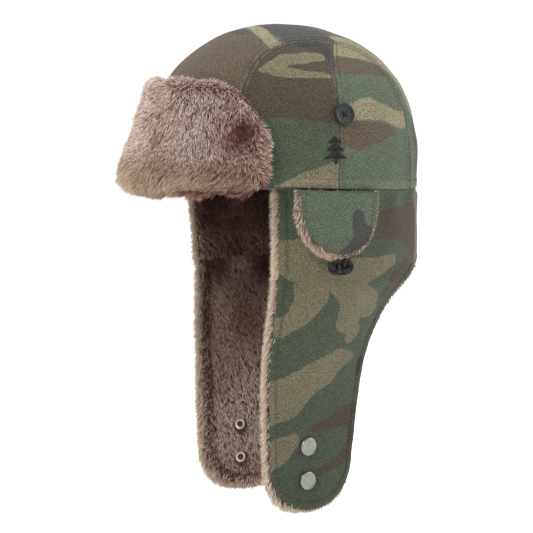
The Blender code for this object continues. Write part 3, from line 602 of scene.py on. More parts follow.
# Shapes of each cut piece on the wearer's left: runs of (along, level, half width), all in
# millimetres, on a green ground
PRINTS = {
    "strip": {
        "brown": [[(-120, 20, 60), (-110, 80, 45), (-70, 110, 36)], [(12, 122, 3), (26, 118, 3)]],
        "khaki": [[(-27, 126, 3), (-33, 118, 4.5), (-33, 112, 5), (-30, 107, 6)],
                  [(24, 111, 5), (45, 107, 6), (65, 98, 7), (80, 88, 7), (92, 70, 7)]],
        "charcoal": [[(-46, 121, 2.5), (-40, 123, 3)],
                     [(-21, 122, 5.5), (-19, 115, 5), (-12, 118, 9), (6, 117, 9), (16, 112, 7)],
                     [(-12, 108, 6), (10, 108, 6)]],
    },
    "front": {
        "brown": [[(-70, 90, 34), (-40, 86, 31), (-10, 83, 31), (12, 80, 31)]],
        "khaki": [[(-50, 91, 2), (-42, 93, 5), (-30, 99.5, 4), (-10, 101, 3.8), (2, 100, 3)],
                  [(-42, 91, 4.5), (-36, 91, 5.5), (-20, 88, 3.2), (1, 86.5, 1.6)],
                  [(-48, 2, 3), (-24, 4, 10.5), (0, 4, 17), (12, 4, 17)]],
        "charcoal": [[(-20, 112, 3), (-6, 111, 4), (6, 108, 5.5), (10, 101, 5), (10, 93, 4),
                      (9, 85, 2)], [(4, 68, 2.2), (4, 64, 1.8)]],
    },
    "back": {
        "brown": [[(10, 95, 7), (30, 94, 7), (50, 92, 6.5), (64, 87, 4)],
                  [(4, 45, 10), (22, 41, 12), (40, 42, 8.5), (60, 42, 2.5)]],
        "khaki": [[(14, 106, 5), (40, 104, 5.5), (60, 97, 4), (74, 88, 5), (84, 76, 6),
                   (89, 64, 5)],
                  [(6, 56, 5), (22, 60, 7.5), (34, 61, 8), (50, 56.5, 6.5), (68, 51.5, 6.5),
                   (94, 47, 6)]],
        "charcoal": [],
    },
    "ear": {
        "brown": [[(42, -31, 10), (66, -31, 13), (84, -32, 17), (104, -32, 20)],
                  [(84, -44, 9), (89, -55, 5)], [(58, -86, 4), (68, -75, 7), (82, -66, 6)],
                  [(-3, -193, 3), (12, -189, 5), (26, -185, 9), (40, -186, 12)],
                  [(38, -196, 6), (36, -206, 4)],
                  [(-7, -230, 1.5), (8, -227, 4), (22, -222, 4.5), (32, -214, 6)]],
        "khaki": [[(-30, -46, 9), (-14, -57, 12), (8, -73, 13)],
                  [(-46, -44, 6), (-36, -52, 14), (-30, -60, 11)], [(-50, -106, 5), (-38, -106, 7)],
                  [(8, -69, 14), (40, -65, 9), (62, -60, 5)],
                  [(6, -70, 14), (24, -86, 14), (40, -94, 11)],
                  [(-16, -67, 14), (-16, -85, 13), (-24, -99, 10), (-38, -110, 7)],
                  [(24, -96, 14), (20, -106, 12), (27, -115, 8), (24, -121, 5)],
                  [(-48, -170, 17), (-30, -165, 17), (-11, -152, 13), (5, -145, 12),
                   (16, -138, 9), (27, -136, 4)],
                  [(-48, -212, 12), (-34, -207, 11), (-24, -201, 7)]],
        "charcoal": [[(96, -62, 3.5), (104, -60, 3)], [(40, -140, 3), (38, -152, 2)]],
    },
    "vent": {
        "brown": [],
        "khaki": [],
        "charcoal": [[(15, -20, 5), (17, -30, 7), (20, -40, 8.5), (10, -47, 5.5), (-2, -51, 3)],
                     [(27, -33, 4), (24, -42, 6)]],
    },
}
FACING = (0.87, -0.50)        # the way the photographed side faces, across and along


def capsule(points, run):
    """Depth inside a run of joined round shapes, negative outside it."""
    run = [run[0], *run] if len(run) == 1 else run
    best = np.full(len(points), -1.0)
    for first, second in zip(run, run[1:]):
        a, b = np.array(first, float), np.array(second, float)
        line = b[:-1] - a[:-1]
        t = np.clip((points - a[:-1]) @ line / max(line @ line, 1e-12), 0.0, 1.0)
        radius = a[-1] + (b[-1] - a[-1]) * t
        best = np.maximum(best, radius - np.linalg.norm(points - a[:-1] - t[:, None] * line,
                                                        axis=1))
    return best


def print_fields(points, layout=None):
    """How deep each point lies in the print's brown, khaki and charcoal shapes."""
    flat = points.reshape(-1, 3)
    warp = np.stack([grain(flat, 0.016, seed) for seed in (11, 12, 13)], axis=-1) * 0.0013
    warp += np.stack([grain(flat, 0.0070, seed) for seed in (14, 15, 16)], axis=-1) * 0.0004
    moved = flat + warp
    stretched = moved * np.array([0.75, 0.75, 1.25])
    free = {
        "brown": (grain(stretched, 0.055, 21) + 0.5 * grain(stretched, 0.027, 22) - 0.10) * 0.022,
        "khaki": (grain(stretched, 0.048, 31) + 0.5 * grain(stretched, 0.024, 32) - 0.24) * 0.020,
        "charcoal": (grain(stretched, 0.040, 41) + 0.6 * grain(stretched, 0.02, 42)
                     - 0.62) * 0.018,
    }
    seen = 0.0
    if layout:
        seen = smooth((flat[:, 0] * FACING[0] + flat[:, 1] * FACING[1] + 0.010) / 0.012)
    result = {}
    for layer, field in free.items():
        field = np.clip(field, -0.02, 0.02)
        if layout:
            placed = np.full(len(flat), -0.02)
            for run in PRINTS[layout][layer]:
                placed = np.maximum(placed, capsule(moved[:, 1:3] * 1000.0, run) / 1000.0)
            field = field * (1.0 - seen) + placed * seen
        result[layer] = field.reshape(points.shape[:-1])
    return result


def cloth_piece(name, grid, body, replaces=(), flip=False, wear=None, shade=None, keep=None,
                thickness=0.0012, part=None, placed=True, tone_and_shade=None):
    """A twill piece from its outer grid, with its print and its own thickness."""
    rows, columns = grid.shape[:2]
    faces = grid_faces(rows, columns, flip)
    if keep is not None:
        faces = faces[keep.ravel()]
    item = new_object(name, grid.reshape(-1, 3), faces, CAMO, None, replaces)
    set_attribute(item, "rest", grid, "FLOAT_VECTOR")
    set_attribute(item, "cloth", cloth_lengths(grid), "FLOAT_VECTOR")
    for layer, field in print_fields(grid, part if placed else None).items():
        set_attribute(item, layer, field)
    blank = np.zeros((rows, columns))
    set_attribute(item, "wear", blank if wear is None else wear)
    set_attribute(item, "shade", blank if shade is None else shade)
    # per-piece and per-place multiplier of the print's colour: mostly painted shade
    set_attribute(item, "tone_and_shade", blank + PIECE_TONE_AND_SHADE.get(part, 1.0) * (1.0 if tone_and_shade is None else tone_and_shade))
    solid = item.modifiers.new("Thickness", "SOLIDIFY")
    solid.thickness = thickness
    solid.offset = -1.0
    apply_modifiers(item)
    item.data.set_sharp_from_angle(angle=math.radians(50))
    if isinstance(body, str):
        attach(item, body)
    else:
        bend(item, body)
    return item


def apply_modifiers(item):
    view = bpy.context.evaluated_depsgraph_get()
    view.update()
    mesh = bpy.data.meshes.new_from_object(item.evaluated_get(view))
    old = item.data
    item.modifiers.clear()
    item.data = mesh
    mesh.name = old.name
    bpy.data.meshes.remove(old)


def bend(item, joint):
    """Bake a piece's placing into its mesh, the same for either kind: joint is (label, kind)."""
    label, kind = joint
    if kind == "ear":
        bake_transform(item)
    else:
        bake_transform(item)


# ------------------------------------------------------------ stitches

def stitch_row(lines, pitch=0.0031, length=0.0025, width=0.00050, height=0.00042):
    """Stitches along lines given as (points, normals): vertices and faces."""
    stations, sides = 5, 6
    share = np.linspace(-1.0, 1.0, stations)
    girth = np.array([0.35, 0.85, 1.0, 0.85, 0.35])
    sink = -0.9 * np.abs(share) ** 2.5
    turn = np.arange(sides) * 2 * math.pi / sides
    template = np.array([[0.5 * length * share[i], 0.5 * width * girth[i] * math.cos(a),
                          height * (0.35 + sink[i]) + 0.5 * height * girth[i] * math.sin(a)]
                         for i in range(stations) for a in turn])
    vertices, faces, count = [], [], 0
    ring = grid_faces(stations, sides, wrap=True)
    caps = [list(range(sides)), list(range(stations * sides - 1, (stations - 1) * sides - 1, -1))]
    for points, normals in lines:
        steps = np.linalg.norm(np.diff(points, axis=0), axis=1)
        travelled = np.concatenate([[0.0], steps.cumsum()])
        number = max(int(travelled[-1] / pitch), 1)
        at = (np.arange(number) + 0.5) * travelled[-1] / number
        centre = np.stack([np.interp(at, travelled, points[:, k]) for k in range(3)], axis=1)
        normal = unit(np.stack([np.interp(at, travelled, normals[:, k]) for k in range(3)], 1))
        ahead = np.stack([np.interp(at + 0.0008, travelled, points[:, k]) for k in range(3)], 1)
        behind = np.stack([np.interp(at - 0.0008, travelled, points[:, k]) for k in range(3)], 1)
        along = unit(ahead - behind)
        beside = unit(np.cross(normal, along))
        up = np.cross(along, beside)
        placed = (centre[:, None] + template[None, :, :1] * along[:, None]
                  + template[None, :, 1:2] * beside[:, None]
                  + template[None, :, 2:] * up[:, None])
        vertices.append(placed.reshape(-1, 3))
        for _ in range(number):
            faces += (ring + count).tolist()
            faces += [[index + count for index in cap] for cap in caps]
            count += len(template)
    return np.concatenate(vertices), faces


def sewn(name, lines, body, material=None, **sizes):
    vertices, faces = stitch_row(lines, **sizes)
    item = new_object(name, vertices, faces, material or THREAD, None)
    if isinstance(body, str):
        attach(item, body)
    else:
        bend(item, body)
    return item


# ------------------------------------------------------------ fur

def scatter(grid, count, rng, flip=False, weight=None):
    """Random points over a grid: place, outward normal, and where they fall on the grid."""
    a, b, c, d = grid[:-1, :-1], grid[1:, :-1], grid[1:, 1:], grid[:-1, 1:]
    area = 0.5 * np.linalg.norm(np.cross(c - a, d - b), axis=2)
    if weight is not None:
        area = area * 0.25 * (weight[:-1, :-1] + weight[1:, :-1] + weight[1:, 1:]
                              + weight[:-1, 1:])
    chance = area.ravel() / area.sum()
    cell = rng.choice(len(chance), size=count, p=chance)
    i, j = np.divmod(cell, grid.shape[1] - 1)
    u, v = rng.random(count)[:, None], rng.random(count)[:, None]
    normals = grid_normals(grid, flip)

    def mixed(field):
        return ((field[i, j] * (1 - u) + field[i, j + 1] * u) * (1 - v)
                + (field[i + 1, j] * (1 - u) + field[i + 1, j + 1] * u) * v)
    return mixed(grid), unit(mixed(normals)), i + v[:, 0], j + u[:, 0]


def grow(name, roots, normals, comb, length, lift, shades, rng, materials, body,
         width=0.00055, clump=0.0035, clumping=0.35, droop=0.0, jitter=0.28):
    """Tapered hairs as flat blades: shades gives each hair's mid and tip material slots."""
    count = len(roots)
    lift = np.broadcast_to(lift, count)[:, None]
    length = np.broadcast_to(length, count) * rng.uniform(0.72, 1.15, count)
    comb = unit(comb - normals * (comb * normals).sum(1)[:, None])
    scatter_way = rng.normal(0.0, jitter, (count, 3))
    heading = unit(normals * lift + comb * (1.0 - lift) + scatter_way)
    curl = unit(comb + 0.6 * rng.normal(0.0, 1.0, (count, 3)) * jitter)
    steps = 3
    line = [roots - normals * 0.0004]
    for step in range(steps):
        way = unit(heading + curl * 0.35 * step + np.array([0.0, 0.0, -droop * step]))
        outward = (way * normals).sum(1)[:, None]
        way = unit(way + normals * np.maximum(0.08 - outward, 0.0))
        line.append(line[-1] + way * (length / steps)[:, None])
    line = np.stack(line, axis=1)
    centres = max(int(count * clump ** 0 / 14), 4)
    chosen = rng.choice(count, size=centres, replace=False)
    tree = KDTree(centres)
    for k, index in enumerate(chosen):
        tree.insert(roots[index], k)
    tree.balance()
    nearest = np.array([tree.find(place)[1] for place in roots])
    total = np.zeros((centres, 3))
    np.add.at(total, nearest, line[:, -1])
    number = np.maximum(np.bincount(nearest, minlength=centres), 1)[:, None]
    goal = (total / number)[nearest]
    for step in range(1, steps + 1):
        pull = clumping * (step / steps) ** 1.5
        line[:, step] += (goal - line[:, -1]) * pull if step < steps else 0.0
    line[:, -1] += (goal - line[:, -1]) * clumping
    blade = unit(np.cross(line[:, -1] - line[:, 0], normals)
                 + 0.5 * rng.normal(0.0, 1.0, (count, 3)))
    blade = unit(blade - heading * (blade * heading).sum(1)[:, None])
    half = 0.5 * width * rng.uniform(0.75, 1.25, count)[:, None, None]
    taper = np.array([0.85, 1.0, 0.72, 0.10])[None, :, None]
    vertices = np.stack([line - blade[:, None] * half * taper,
                         line + blade[:, None] * half * taper], axis=2).reshape(-1, 3)
    start = (np.arange(count) * 2 * (steps + 1))[:, None]
    faces = np.concatenate([start + np.array([2 * s, 2 * s + 1, 2 * s + 3, 2 * s + 2])
                            for s in range(steps)], axis=1).reshape(-1, 4)
    item = new_object(name, vertices, faces, materials, None)
    index = np.stack([np.zeros(count, int), shades[0], shades[1]], axis=1).ravel()
    item.data.polygons.foreach_set("material_index", index.astype(np.int32))
    if isinstance(body, str):
        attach(item, body)
    else:
        bend(item, body)
    return item


# ------------------------------------------------------------ crown

def seam_wear_and_shade(strip, seam, z):
    near = np.minimum(np.abs(strip), np.abs(seam))
    wear = 0.9 * np.exp(-((near - 0.0015) / 0.0012) ** 2) + 0.6 * np.exp(-(z / 0.0015) ** 2)
    # painted shade: a dark line in each seam's groove and along the stitch rows beside it
    shade = 0.75 * np.exp(-(near / 0.0006) ** 2) + 0.45 * np.exp(-((near - 0.003) / 0.0005) ** 2)
    return np.clip(wear, 0, 1), np.clip(shade, 0, 1)


def crown_panel(name, points, replaces, flip, part, placed=True):
    """One sewn panel from its points on the level dome, with a raised band along its hem."""
    strip, seam = seam_distances(points)
    wear, shade = seam_wear_and_shade(strip, seam, points[..., 2])
    shade = np.clip(shade + 0.65 * np.exp(-((points[..., 2] - HEM_STITCH) / 0.0007) ** 2), 0, 1)
    # the hem band is painted 25% lighter than the panel above it
    tone_and_shade = 1.0 + 0.25 * smooth((0.0086 - points[..., 2]) / 0.0012)
    item = cloth_piece(name, crown_cloth(points), "crown", replaces, flip, wear, shade,
                       part=part, placed=placed, tone_and_shade=tone_and_shade)
    return item


def strip_points(columns=72, half_rows=120):
    sweep = math.pi / 2 * np.linspace(0.0, 1.0, half_rows + 1) ** 1.35
    sweep = np.concatenate([sweep, (math.pi - sweep)[-2::-1]])
    edge = np.full_like(sweep, STRIP_HALF)
    for _ in range(40):
        ring = np.sqrt(1.0 - (1.0 - (edge / HALF_WIDTH) ** 2) * np.sin(sweep) ** 2)
        edge = strip_edge(ring) - SEAM_GAP
    x = edge[:, None] * np.linspace(-1.0, 1.0, columns + 1)
    reach = np.sqrt(1.0 - (x / HALF_WIDTH) ** 2)
    level = CROWN_HEIGHT * (reach * np.maximum(np.sin(sweep), 0.0)[:, None]) ** (2 / DOME_POWER)
    return rows_of(x, -HALF_LENGTH * reach * np.cos(sweep)[:, None], level)


def side_points(part, columns=60, count=92):
    wide, narrow = HALF_WIDTH ** SEAM_BLEND, (HEM_SEAM_X + SEAM_GAP) ** SEAM_BLEND
    arch = (STRIP_HALF + SEAM_GAP) / (wide - narrow) ** (1.0 / SEAM_BLEND)
    top_ring = arch + 0.0006 if part == "front" else SIDE_SEAM_END + 0.004
    level = dome_level(np.array(top_ring)) * np.cos(math.pi / 2 * np.linspace(0, 1, count + 1))
    ring = dome_ring(level)
    front = np.arcsin(np.minimum((strip_edge(ring) + SEAM_GAP) / (HALF_WIDTH * ring), 1.0))
    back = math.pi - front
    gap = SEAM_GAP / (HALF_LENGTH * ring)
    if part == "front":
        start = front
        end = np.where(ring > SIDE_SEAM_END, np.minimum(side_seam(ring) - gap, back), back)
    else:
        start, end = side_seam(ring) + gap, back
        end = np.maximum(end, start + 1e-4)
    angle = start[:, None] + (end - start)[:, None] * np.linspace(0.0, 1.0, columns + 1)
    return rows_of(HALF_WIDTH * ring[:, None] * np.sin(angle),
                   -HALF_LENGTH * ring[:, None] * np.cos(angle), level[:, None])


def on_crown(points, lift=0.00008):
    """A line of the level dome as the stitches need it: places and normals."""
    return crown_cloth(points, lift), tipped(dome_normal(points))


def make_crown():
    crown_panel("crown_strip_cloth", strip_points(), "crown_top_strip", True, "strip")
    for part in ("front", "back"):
        points = side_points(part)
        for side, label in SIDES:
            crown_panel(label + "_" + part + "_panel_cloth", points * np.array([side, 1, 1]),
                        label + "_" + part + "_side_panel", side < 0, part, side > 0)
    lines = []
    strip = strip_points(columns=2, half_rows=200)
    for side in (1, -1):
        base = strip[:, -1] * np.array([side, 1, 1])
        along = unit(np.gradient(base, axis=0))
        beside = unit(np.cross(dome_normal(base), along))
        for shift in (-0.0031, 0.0029):
            moved = base + beside * shift * side
            ring = np.sqrt((moved[:, 0] / HALF_WIDTH) ** 2 + (moved[:, 1] / HALF_LENGTH) ** 2)
            keep = ring < 0.9995
            moved, ring = moved[keep], ring[keep]
            moved[:, 2] = dome_level(ring)
            moved = moved[moved[:, 2] > HEM_STITCH]
            lines.append(on_crown(moved))
        ring = np.linspace(SIDE_SEAM_END + 0.03, 0.99999, 240)
        for shift in (-0.0030, 0.0030):
            angle = side_seam(ring) + shift / (HALF_LENGTH * ring * 0.93)
            points = rows_of(side * HALF_WIDTH * ring * np.sin(angle),
                             -HALF_LENGTH * ring * np.cos(angle), dome_level(ring))
            keep = (points[:, 2] > HEM_STITCH) & (seam_distances(points)[0] > 0.0035)
            lines.append(on_crown(points[keep]))
    turn = np.linspace(0.0, 2 * math.pi, 721)
    ring = dome_ring(np.array(HEM_STITCH))
    hem = on_crown(rows_of(HALF_WIDTH * ring * np.sin(turn),
                           -HALF_LENGTH * ring * np.cos(turn), HEM_STITCH))
    sewn("crown_topstitching", lines, "crown")
    sewn("hem_stitching", [hem], "crown", HEM_THREAD, pitch=0.0033, length=0.0021,
         width=0.00062, height=0.00050)


def make_lining():
    """Quilted lining: diamonds sewn into a soft dome, turned out to the hem at its edge."""
    count, columns = 70, 160
    lift = math.pi / 2 * (1.0 - np.linspace(0.0, 1.0, count)[1:] ** 0.8) ** 1.15
    ring = np.cos(lift)[:, None]
    angle = -2 * math.pi * np.arange(columns)[None, :] / columns
    base = rows_of(HALF_WIDTH * ring * np.sin(angle), -HALF_LENGTH * ring * np.cos(angle),
                   dome_level(ring) * np.ones_like(angle))
    normal = dome_normal(base)
    across, up = angle * 0.098 / 0.0205, lift[:, None] * 0.118 / 0.030
    quilt = np.abs(np.sin(math.pi * (across / 2 + up)) * np.sin(math.pi * (across / 2 - up)))
    puff = 0.0030 * np.minimum(quilt * 2.2, 1.0) ** 0.6 * smooth((1.2 - ring) / 0.3)
    inset = 0.0068 + puff + 0.0005 * grain(base, 0.015, 7)
    grid = base - normal * inset[..., None]
    rim = grid[-1:].copy()
    edge = np.concatenate([rim + np.array([0, 0, z]) + unit(rim * np.array([1, 1, 0])) * out
                           for out, z in ((0.0006, 0.0014), (0.0018, 0.0012),
                                          (0.0030, 0.0022), (0.0034, 0.0052))])
    grid = np.concatenate([grid, edge])
    pole = np.array([[0.0, 0.0, CROWN_HEIGHT - 0.0080]])
    vertices = np.concatenate([grid.reshape(-1, 3), pole])
    faces = grid_faces(*grid.shape[:2], wrap=True, flip=True).tolist()
    last = len(vertices) - 1
    faces += [[last, i, (i + 1) % columns] for i in range(columns)]
    item = new_object("crown_quilted_lining", tipped(vertices), faces, QUILT, "crown",
                      "crown_lining")
    solid = item.modifiers.new("Thickness", "SOLIDIFY")
    solid.thickness = 0.0030
    solid.offset = -1.0
    apply_modifiers(item)
    return item


# ------------------------------------------------------------ ear and neck cover

def cover_grid(rows=52, columns=230, start=COVER_START):
    angle = np.linspace(start, 2 * math.pi - start, columns + 1)
    half = np.minimum(angle, 2 * math.pi - angle)
    half_x, half_y = HALF_WIDTH - COVER_INSET, HALF_LENGTH - COVER_INSET
    top = tipped(rows_of(half_x * np.sin(half), -half_y * np.cos(half), -COVER_DROP))[:, 2]
    share = np.linspace(0.0, 1.0, rows + 1)[:, None]
    level = top + (SPLIT - top) * share
    grid = cover_point(np.broadcast_to(half, level.shape), level)
    grid[..., 0] *= np.where(angle <= math.pi, 1.0, -1.0)
    return grid, half, level


def flap_relief(points, distance, seed=0):
    relief = 0.00055 * smooth((FLAP_STITCH + 0.0012 - distance) / 0.0014)
    relief -= 0.00075 * np.exp(-((distance - FLAP_STITCH) / 0.0008) ** 2)
    relief -= 0.0006 * smooth((0.0011 - distance) / 0.0011)
    relief += 0.0005 * np.exp(-np.abs(distance - FLAP_STITCH) / 0.006) * grain(points, 0.0075,
                                                                                50 + seed)
    relief += 0.0012 * grain(points, 0.045, 51) + 0.0005 * grain(points, 0.018, 52)
    return relief


def make_cover():
    grid, half, level = cover_grid()
    below = grid[..., 2] - SPLIT
    nape = smooth((half - COVER_CORNER - NAPE_RISE * 0.7) / 0.08)[None, :]
    front = (half - COVER_START)[None, :] * 0.085 + 0 * level
    distance = np.minimum(np.where(nape > 0.3, below + (1 - nape) * 0.05, 1.0), front)
    normal = grid_normals(grid)
    depth = level[:1] - level
    gathers = np.sin(half / 0.055 + 2.5 * grain(grid, 0.05, 53)) * np.exp(-depth / 0.026)
    relief = flap_relief(grid, distance) + 0.0015 * gathers * smooth((half - 1.5) / 0.3)
    outer = grid + normal * (relief * smooth(depth / 0.006))[..., None]
    along, low = PORT_CENTRE
    port = np.sqrt(((outer[..., 1] - along) / PORT_HALF[0]) ** 2
                   + ((outer[..., 2] - low) / PORT_HALF[1]) ** 2)
    edge = (np.abs(port - 1.0) < 0.045)[..., None]
    centre = np.array([0.0, along, low])
    pulled = centre + (outer - centre) / port[..., None]
    outer = np.where(edge, np.concatenate([outer[..., :1], pulled[..., 1:]], axis=-1), outer)
    middle = 0.25 * (port[:-1, :-1] + port[1:, :-1] + port[1:, 1:] + port[:-1, 1:])
    wear = 0.5 * np.exp(-(distance / 0.0012) ** 2)
    shade = 0.85 * np.exp(-((distance - FLAP_STITCH) / 0.0008) ** 2)
    shade = shade + 0.6 * np.exp(-((grid[..., 2] + 0.001) / 0.0012) ** 2)
    shell = cloth_piece("ear_neck_cover_cloth", outer, "crown", "ear_neck_cover_shell",
                        wear=wear, shade=np.clip(shade, 0, 1), keep=middle > 1.0,
                        part="ear")
    lines = []
    row = np.argmin(np.abs(grid[:, grid.shape[1] // 2, 2] - (SPLIT + FLAP_STITCH)))
    keep = half > COVER_CORNER + NAPE_RISE * 0.75
    lines.append((outer[row][keep], normal[row][keep]))
    column = (half[1:half.size // 2] - COVER_START < FLAP_STITCH / 0.085).sum()
    for column in (column, -column - 1):
        lines.append((outer[4:, column], normal[4:, column]))
    sewn("cover_topstitching", lines, "crown")
    make_cover_border(outer, normal)
    turn = np.linspace(0.0, 2 * math.pi, 120)
    for side, label in SIDES:
        ring = rows_of(0.0, along + PORT_HALF[0] * np.cos(turn), low + PORT_HALF[1] * np.sin(turn))
        flat = outer.reshape(-1, 3)
        flat = flat[flat[:, 0] * side > 0.05]
        tree = KDTree(len(flat))
        for i, place in enumerate(flat):
            tree.insert((0.0, place[1], place[2]), i)
        tree.balance()
        ring[:, 0] = [flat[tree.find(place)[1], 0] for place in ring]
        for _ in range(3):
            ring[:, 0] = (np.roll(ring[:, 0], 1) + ring[:, 0] + np.roll(ring[:, 0], -1)) / 3
        around = np.broadcast_to(np.array([side, 0.0, 0.0]), ring.shape)
        sewn(label + "_ear_port_binding", [(ring + around * 0.0002, around)], "crown",
             pitch=0.0009, length=0.0009, width=0.0032, height=0.0016)
    return shell


def make_cover_border(outer, normal):
    """Pile that shows past the cover's front edges, from the hem down to the flaps."""
    rng = np.random.default_rng(35)
    places, ways = outer[2:, 0], normal[2:, 0]
    out = unit(places - outer[2:, 2])
    for side, label in SIDES:
        border(label + "_cover_edge_pile", places, ways, out, np.full(len(places), 0.0085),
               2400, rng, side, "crown")


def make_cover_fur():
    rng = np.random.default_rng(31)
    grid, half, _ = cover_grid(rows=30, columns=150, start=COVER_START - math.radians(1.0))
    first = np.full_like(half, 0.10) * (1.0 - 0.75 * smooth((half - COVER_START)
                                                             / math.radians(18)))
    for column in range(grid.shape[1]):
        rows = np.linspace(first[column], 1.0, grid.shape[0]) * (grid.shape[0] - 1)
        for k in range(3):
            grid[:, column, k] = np.interp(rows, np.arange(grid.shape[0]), grid[:, column, k])
    normal = grid_normals(grid)
    outer = grid - normal * (SHELL + 0.0014)
    inner = outer - normal * 0.0022
    along, low = PORT_CENTRE
    port = np.sqrt(((outer[..., 1] - along) / PORT_HALF[0]) ** 2
                   + ((outer[..., 2] - low) / PORT_HALF[1]) ** 2)
    middle = 0.25 * (port[:-1, :-1] + port[1:, :-1] + port[1:, 1:] + port[:-1, 1:])
    faces = grid_faces(*outer.shape[:2])[(middle > 0.30).ravel()]
    skin = new_object("ear_neck_cover_pile_backing", outer.reshape(-1, 3), faces, LINING_SKIN,
                      "crown", "ear_neck_cover_fur")
    solid = skin.modifiers.new("Thickness", "SOLIDIFY")
    solid.thickness = 0.0022
    solid.offset = -1.0
    apply_modifiers(skin)
    weight = (port > 0.30) * (1.0 + 1.0 * (port < 1.2))
    place, away, row, column = scatter(inner, 30000, rng, weight=weight)
    inward = -away
    share = row / (grid.shape[0] - 1)
    down = np.array([0.0, 0.0, -1.0]) + 0.25 * rng.normal(0, 1, (len(place), 3))
    above = place[:, 2] - low
    near_port = smooth((0.028 - np.abs(place[:, 1] - along)) / 0.008) * smooth(
        (above + 0.002) / 0.006) * smooth((0.024 - above) / 0.006)
    # painted shade: the pile grows paler downward, its top lying in shade under the crown
    pale = (rng.random(len(place))
            + 0.9 * smooth((share - 0.86) / 0.12) * smooth((place[:, 1] - 0.05) / 0.02)
            + 0.65 * smooth((share - 0.40) / 0.45) + 0.65 * grain(place, 0.024, 82) - 0.38)
    mids = np.select([pale > 1.00, pale > 0.30], [2, 1], 0)
    tips = np.select([pale > 1.25, pale > 0.80, pale > 0.45], [4, 3, 2], 1)
    tips = np.where(rng.random(len(place)) < 0.35, 1, tips)
    grow("ear_neck_cover_pile", place, inward, down, 0.0064 + 0.0056 * near_port,
         0.60 - 0.30 * near_port, (mids, tips), rng, LINING_SHADES, "crown",
         droop=0.12)
    return skin


# ------------------------------------------------------------ ear flaps

def flap_grid(border=0.0, rows=128, columns=72):
    level = np.concatenate([np.linspace(SPLIT, FLAP_END + FLAP_ROUND, int(rows * 0.72)),
                            FLAP_END - border + (FLAP_ROUND + border)
                            * (1 - np.sin(np.linspace(0, math.pi / 2, int(rows * 0.28) + 1)))[1:]])
    front, rear = flap_outline(level, border)
    for edge in (front, rear):
        for _ in range(6):
            edge[1:20] = 0.25 * edge[0:19] + 0.5 * edge[1:20] + 0.25 * edge[2:21]
    share = np.linspace(0.0, 1.0, columns + 1)
    along = front[:, None] + (rear - front)[:, None] * share
    on_cloth = np.maximum(level, FLAP_END)
    across = ear_across(along, on_cloth[:, None] + 0 * along)
    return rows_of(across, along, level[:, None] + 0 * along)


def outline_of(grid):
    """The flap's free edge as a plane line of (along, level): front, bottom, rear."""
    line = np.concatenate([grid[:, 0, 1:], grid[-1, 1:-1, 1:], grid[::-1, -1, 1:]])
    steps = np.linalg.norm(np.diff(line, axis=0), axis=1)
    travelled = np.concatenate([[0.0], steps.cumsum()])
    keep = np.concatenate([[True], steps > 1e-7])
    at = np.linspace(0.0, travelled[-1], 900)
    return np.stack([np.interp(at, travelled[keep], line[keep, k]) for k in (0, 1)], axis=1)


def flap_surface(grid):
    """A lookup from (along, level) to the place and normal on a flap's grid."""
    normal = grid_normals(grid)
    flat, normals = grid.reshape(-1, 3), normal.reshape(-1, 3)
    tree = KDTree(len(flat))
    for i, place in enumerate(flat):
        tree.insert((place[1], place[2], 0.0), i)
    tree.balance()

    def find(line):
        places, ways = [], []
        for y, z in line:
            near = tree.find_n((y, z, 0.0), 4)
            weight = np.array([1.0 / (d + 1e-5) for _, _, d in near])
            weight /= weight.sum()
            index = [i for _, i, _ in near]
            places.append((weight @ flat[index, 0], y, z))
            ways.append(weight @ normals[index])
        return np.array(places), unit(np.array(ways))
    return find


def make_ear_flap(side, label):
    mirror = np.array([side, 1, 1])
    grid = flap_grid()
    line = outline_of(grid)
    distance = edge_distance(grid[..., 1:], line)
    normal = grid_normals(grid)
    wave = 0.0011 * np.sin(grid[..., 1] / 0.011 + 1.2) * smooth((grid[..., 2] + 0.20) / -0.05)
    relief = flap_relief(grid * mirror, distance) + wave
    for level in SNAP_LEVELS:
        near = np.hypot(grid[..., 1] - SNAP_ALONG, grid[..., 2] - level)
        relief = relief * smooth((near - 0.006) / 0.008)
        relief -= 0.0006 * np.exp(-((near - 0.009) / 0.003) ** 2)
    outer = grid + normal * relief[..., None]
    wear = 0.55 * np.exp(-(distance / 0.0012) ** 2)
    shade = 0.85 * np.exp(-((distance - FLAP_STITCH) / 0.0008) ** 2)
    # painted shade: the flap's print is darkened toward its bottom, which the light from above
    # reaches less
    tone_and_shade = 1.0 - 0.10 * smooth((-0.14 - grid[..., 2]) / 0.06)
    joint = (label, "ear")
    cloth_piece(label + "_ear_flap_cloth", outer * mirror, joint, label + "_ear_flap_shell",
                side < 0, wear, shade, part="ear", placed=side > 0, tone_and_shade=tone_and_shade)
    find = flap_surface(outer)
    stitches = offset_line(line, FLAP_STITCH, 1)
    stitches = stitches[stitches[:, 1] < SPLIT - 0.001]
    places, ways = find(stitches)
    sewn(label + "_ear_flap_topstitching", [(places * mirror, ways * mirror)], joint)
    make_flap_fur(side, label, grid, line)


